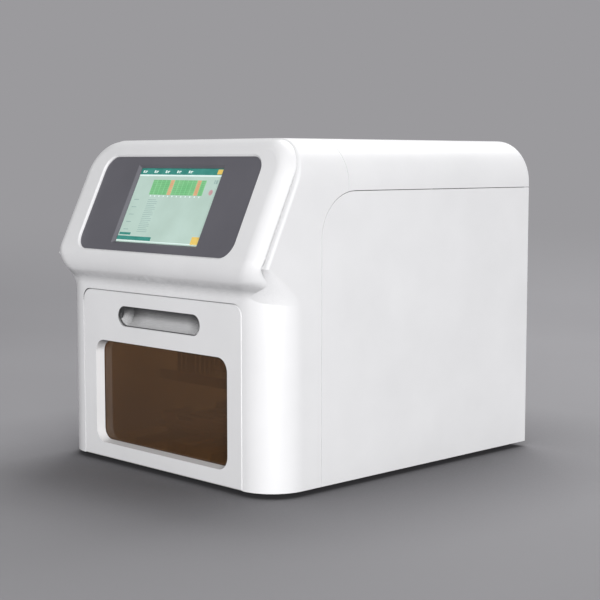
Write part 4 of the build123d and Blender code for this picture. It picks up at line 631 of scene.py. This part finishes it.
def dot(left, top, radius, rise=GLASS_PROUD, sides=20):
    """A round mark of the screen."""
    return disc(radius, rise, ((left - 0.5) * SCREEN_WIDTH, (0.5 - top) * SCREEN_HEIGHT), sides)


def on_screen(name, pieces, finish):
    """Joins screen marks, lays them on the glass and makes them ride with the housing."""
    return fitted(placed(joined(name, pieces), screen_place), finish, "housing")


TEAL = lit("lit_teal", "#2c7d72", "#3d8d82")
WHITE = lit("lit_white", "#d8ece6", "#e4f4ef")
GREEN = lit("lit_green", "#69b177", "#7cba84")
SALMON = lit("lit_salmon", "#d89a76", "#dfa582")
AMBER = lit("lit_amber", "#d9b24c", "#e3c46a")
SLATE = lit("lit_slate", "#8faaa4", "#9cb5af")
ROSE = lit("lit_rose", "#b98f93", "#c39c9f")
LEAF = lit("lit_leaf", "#7cc488", "#8fce98")

on_screen("screen_header", [tile(0.0, 0.0, 1.0, 0.085)], TEAL)
on_screen("screen_header_edge", [tile(0.0, 0.085, 1.0, 0.02)], WHITE)

# Marks in the header stand for its menu, each a block with two short strokes beside it
menu = []
for left in (0.03, 0.17, 0.31, 0.45, 0.59):
    menu.append(tile(left, 0.028, 0.016, 0.034, 2 * GLASS_PROUD))
    menu.append(tile(left + 0.022, 0.034, 0.028, 0.012, 2 * GLASS_PROUD))
    menu.append(tile(left + 0.022, 0.052, 0.020, 0.010, 2 * GLASS_PROUD))
on_screen("screen_menu_marks", menu, WHITE)
on_screen("screen_status_icon", [tile(0.93, 0.012, 0.055, 0.062, 2 * GLASS_PROUD)], AMBER)

# The plate map: twelve columns by eight rows of wells, two of the columns picked out
MAP_LEFT, MAP_TOP, MAP_WIDTH, MAP_HEIGHT = 0.2, 0.155, 0.64, 0.2
COLUMNS, ROWS = 12, 8
column_step = MAP_WIDTH / COLUMNS
row_step = MAP_HEIGHT / ROWS
picked = (4, 10)
green_wells = []
salmon_wells = []
for column in range(COLUMNS):
    for row in range(ROWS):
        well = tile(MAP_LEFT + column * column_step + 0.004, MAP_TOP + row * row_step + 0.002,
                    column_step - 0.008, row_step - 0.004, 2 * GLASS_PROUD)
        (salmon_wells if column in picked else green_wells).append(well)
on_screen("screen_map_ground", [tile(MAP_LEFT, MAP_TOP, MAP_WIDTH, MAP_HEIGHT)], LEAF)
on_screen("screen_map_wells", green_wells, GREEN)
on_screen("screen_map_picked", salmon_wells, SALMON)
TICK_LEVEL = MAP_TOP + MAP_HEIGHT + 0.018
ticks = [dot(MAP_LEFT + (column + 0.5) * column_step, TICK_LEVEL, 1.1 * MM, sides=6)
         for column in range(COLUMNS)]
on_screen("screen_map_ticks", ticks, WHITE)

# The step list: a column of short strokes of uneven length, with a few more to its left
rows = []
for line in range(18):
    top = 0.42 + line * 0.025
    rows.append(tile(0.215, top, 0.1 + 0.03 * math.sin(2.1 * line) ** 2, 0.007))
    if line % 4 == 0:
        rows.append(tile(0.04, top, 0.06, 0.01))
on_screen("screen_step_list", rows, SLATE)
on_screen("screen_progress", [tile(0.01, 0.868, 0.14, 0.03), tile(0.0, 0.915, 0.42, 0.05)], TEAL)
on_screen("screen_foot_edge", [tile(0.0, 0.97, 1.0, 0.012)], WHITE)
on_screen("screen_run_icon", [tile(0.9, 0.88, 0.085, 0.1)], AMBER)
on_screen("screen_side_icons", [tile(0.93, 0.15, 0.012, 0.05), tile(0.95, 0.15, 0.02, 0.05)], SLATE)
on_screen("screen_lock_icon", [dot(0.93, 0.31, 3.4 * MM)], ROSE)


# ---------------------------------------------------------------- camera, light and floor

def aim(thing, target):
    """Turns a camera or lamp so that it looks at a point."""
    thing.rotation_euler = (Vector(target) - thing.location).to_track_quat("-Z", "Y").to_euler()


camera_data = bpy.data.cameras.new("camera")
camera = bpy.data.objects.new("camera", camera_data)
bpy.context.scene.collection.objects.link(camera)
VIEW_PLACE = (1.2705, -1.2178, 0.3658)
VIEW_AZIMUTH = math.radians(45.9)
VIEW_PITCH = math.radians(5.67)
camera.location = VIEW_PLACE
camera.rotation_euler = (math.pi / 2 - VIEW_PITCH, 0, VIEW_AZIMUTH)
camera_data.lens = 84
camera_data.sensor_width = 36
camera_data.clip_start = 0.05
bpy.context.scene.camera = camera


def softbox(name, place, target, width, height, power):
    """A soft rectangular lamp that looks at a point."""
    lamp_data = bpy.data.lights.new(name, "AREA")
    lamp_data.shape = "RECTANGLE"
    lamp_data.size = width
    lamp_data.size_y = height
    lamp_data.energy = power
    lamp = bpy.data.objects.new(name, lamp_data)
    bpy.context.scene.collection.objects.link(lamp)
    lamp.location = place
    aim(lamp, target)
    return lamp


# A low broad key from the front right, a high one behind for the top, and a dim even sky
KEY_AZIMUTH = math.radians(50)
KEY_DISTANCE = 6.0
KEY_HEIGHT = 1.0
key_place = (KEY_DISTANCE * math.sin(KEY_AZIMUTH), -KEY_DISTANCE * math.cos(KEY_AZIMUTH), KEY_HEIGHT)
softbox("key", key_place, (0, 0, 0.2), 3.2, 2.0, 296)
softbox("high_rear", (-0.5, 1.3, 2.2), (0, 0, 0.3), 1.8, 1.8, 44)
# A weak lamp in the chamber, for the machine's own light behind the smoked pane
softbox("chamber_glow", (0, -0.06, 0.225), (0, -0.07, 0), 0.22, 0.12, 0.3)

world = bpy.data.worlds.new("studio")
bpy.context.scene.world = world
world.use_nodes = True
background = world.node_tree.nodes["Background"]
background.inputs["Color"].default_value = linear("#f4f4f6")
background.inputs["Strength"].default_value = 0.32

FADE_HEIGHT = 0.2


def studio_paint():
    """Matt studio paint: it takes the shadow on the floor, with a painted shadow darkening it close to the
    object, and fades into an even grey up the sweep where the camera sees it."""
    material = grained("painted_studio_sweep", "#9c9b9e", "#a1a0a3", 0.9, 3, 0.0, 900)
    tree = material.node_tree
    # Painted shadow: the floor's colour darkens towards #5c5b5e close to the object
    painted_occlusion_shade(tree, tree.nodes["Principled BSDF"], 260, "#5c5b5e", low=0.35, high=1.0, alone=False)
    place = add(tree, "TexCoord").outputs["Object"]
    height = add(tree, "SeparateXYZ", links={"Vector": place}).outputs["Z"]
    fade = {"From Max": FADE_HEIGHT, "interpolation_type": "SMOOTHSTEP"}
    risen = add(tree, "MapRange", fade, {"Value": height}).outputs["Result"]
    ray = add(tree, "LightPath").outputs
    either = {"operation": "MAXIMUM"}
    seen = add(tree, "Math", either, {0: ray["Is Camera Ray"], 1: ray["Is Glossy Ray"]}).outputs[0]
    seen = add(tree, "Math", either, {0: seen, 1: ray["Is Transmission Ray"]}).outputs[0]
    share = add(tree, "Math", {"operation": "MULTIPLY"}, {0: risen, 1: seen}).outputs[0]
    even = add(tree, "Emission", {"Color": linear("#9b9a9d"), "Strength": 1.0}).outputs[0]
    painted = tree.nodes["Principled BSDF"].outputs[0]
    mixed = add(tree, "MixShader", links={0: share, 1: painted, 2: even}).outputs[0]
    tree.links.new(mixed, tree.nodes["Material Output"].inputs["Surface"])
    return material


# The floor runs back from the camera and sweeps up into a wall behind the object
FLOOR_WIDTH = 14.0
FLOOR_DEPTH = 8.0
SWEEP_START = 1.3
SWEEP_RADIUS = 2.0
WALL_HEIGHT = 3.0
start()
bpy.ops.mesh.primitive_plane_add(size=1, location=(0, SWEEP_START - FLOOR_DEPTH / 2, 0))
backdrop = bpy.context.object
backdrop.name = "studio_sweep"
backdrop.scale = (FLOOR_WIDTH, FLOOR_DEPTH, 1)
bpy.ops.object.transform_apply(location=True, rotation=True, scale=True)
pick(backdrop, lambda place: place.y > SWEEP_START - 0.01)
bpy.ops.mesh.spin(steps=24, angle=-math.pi / 2, center=(0, SWEEP_START, SWEEP_RADIUS), axis=(1, 0, 0))
bpy.ops.mesh.extrude_region_move(TRANSFORM_OT_translate={"value": (0, 0, WALL_HEIGHT)})
bpy.ops.object.mode_set(mode="OBJECT")
bpy.ops.object.shade_smooth()
backdrop.rotation_euler = (0, 0, VIEW_AZIMUTH)
bpy.ops.object.transform_apply(location=True, rotation=True, scale=True)
backdrop.data.materials.append(studio_paint())

bpy.context.scene.view_settings.view_transform = "Standard"
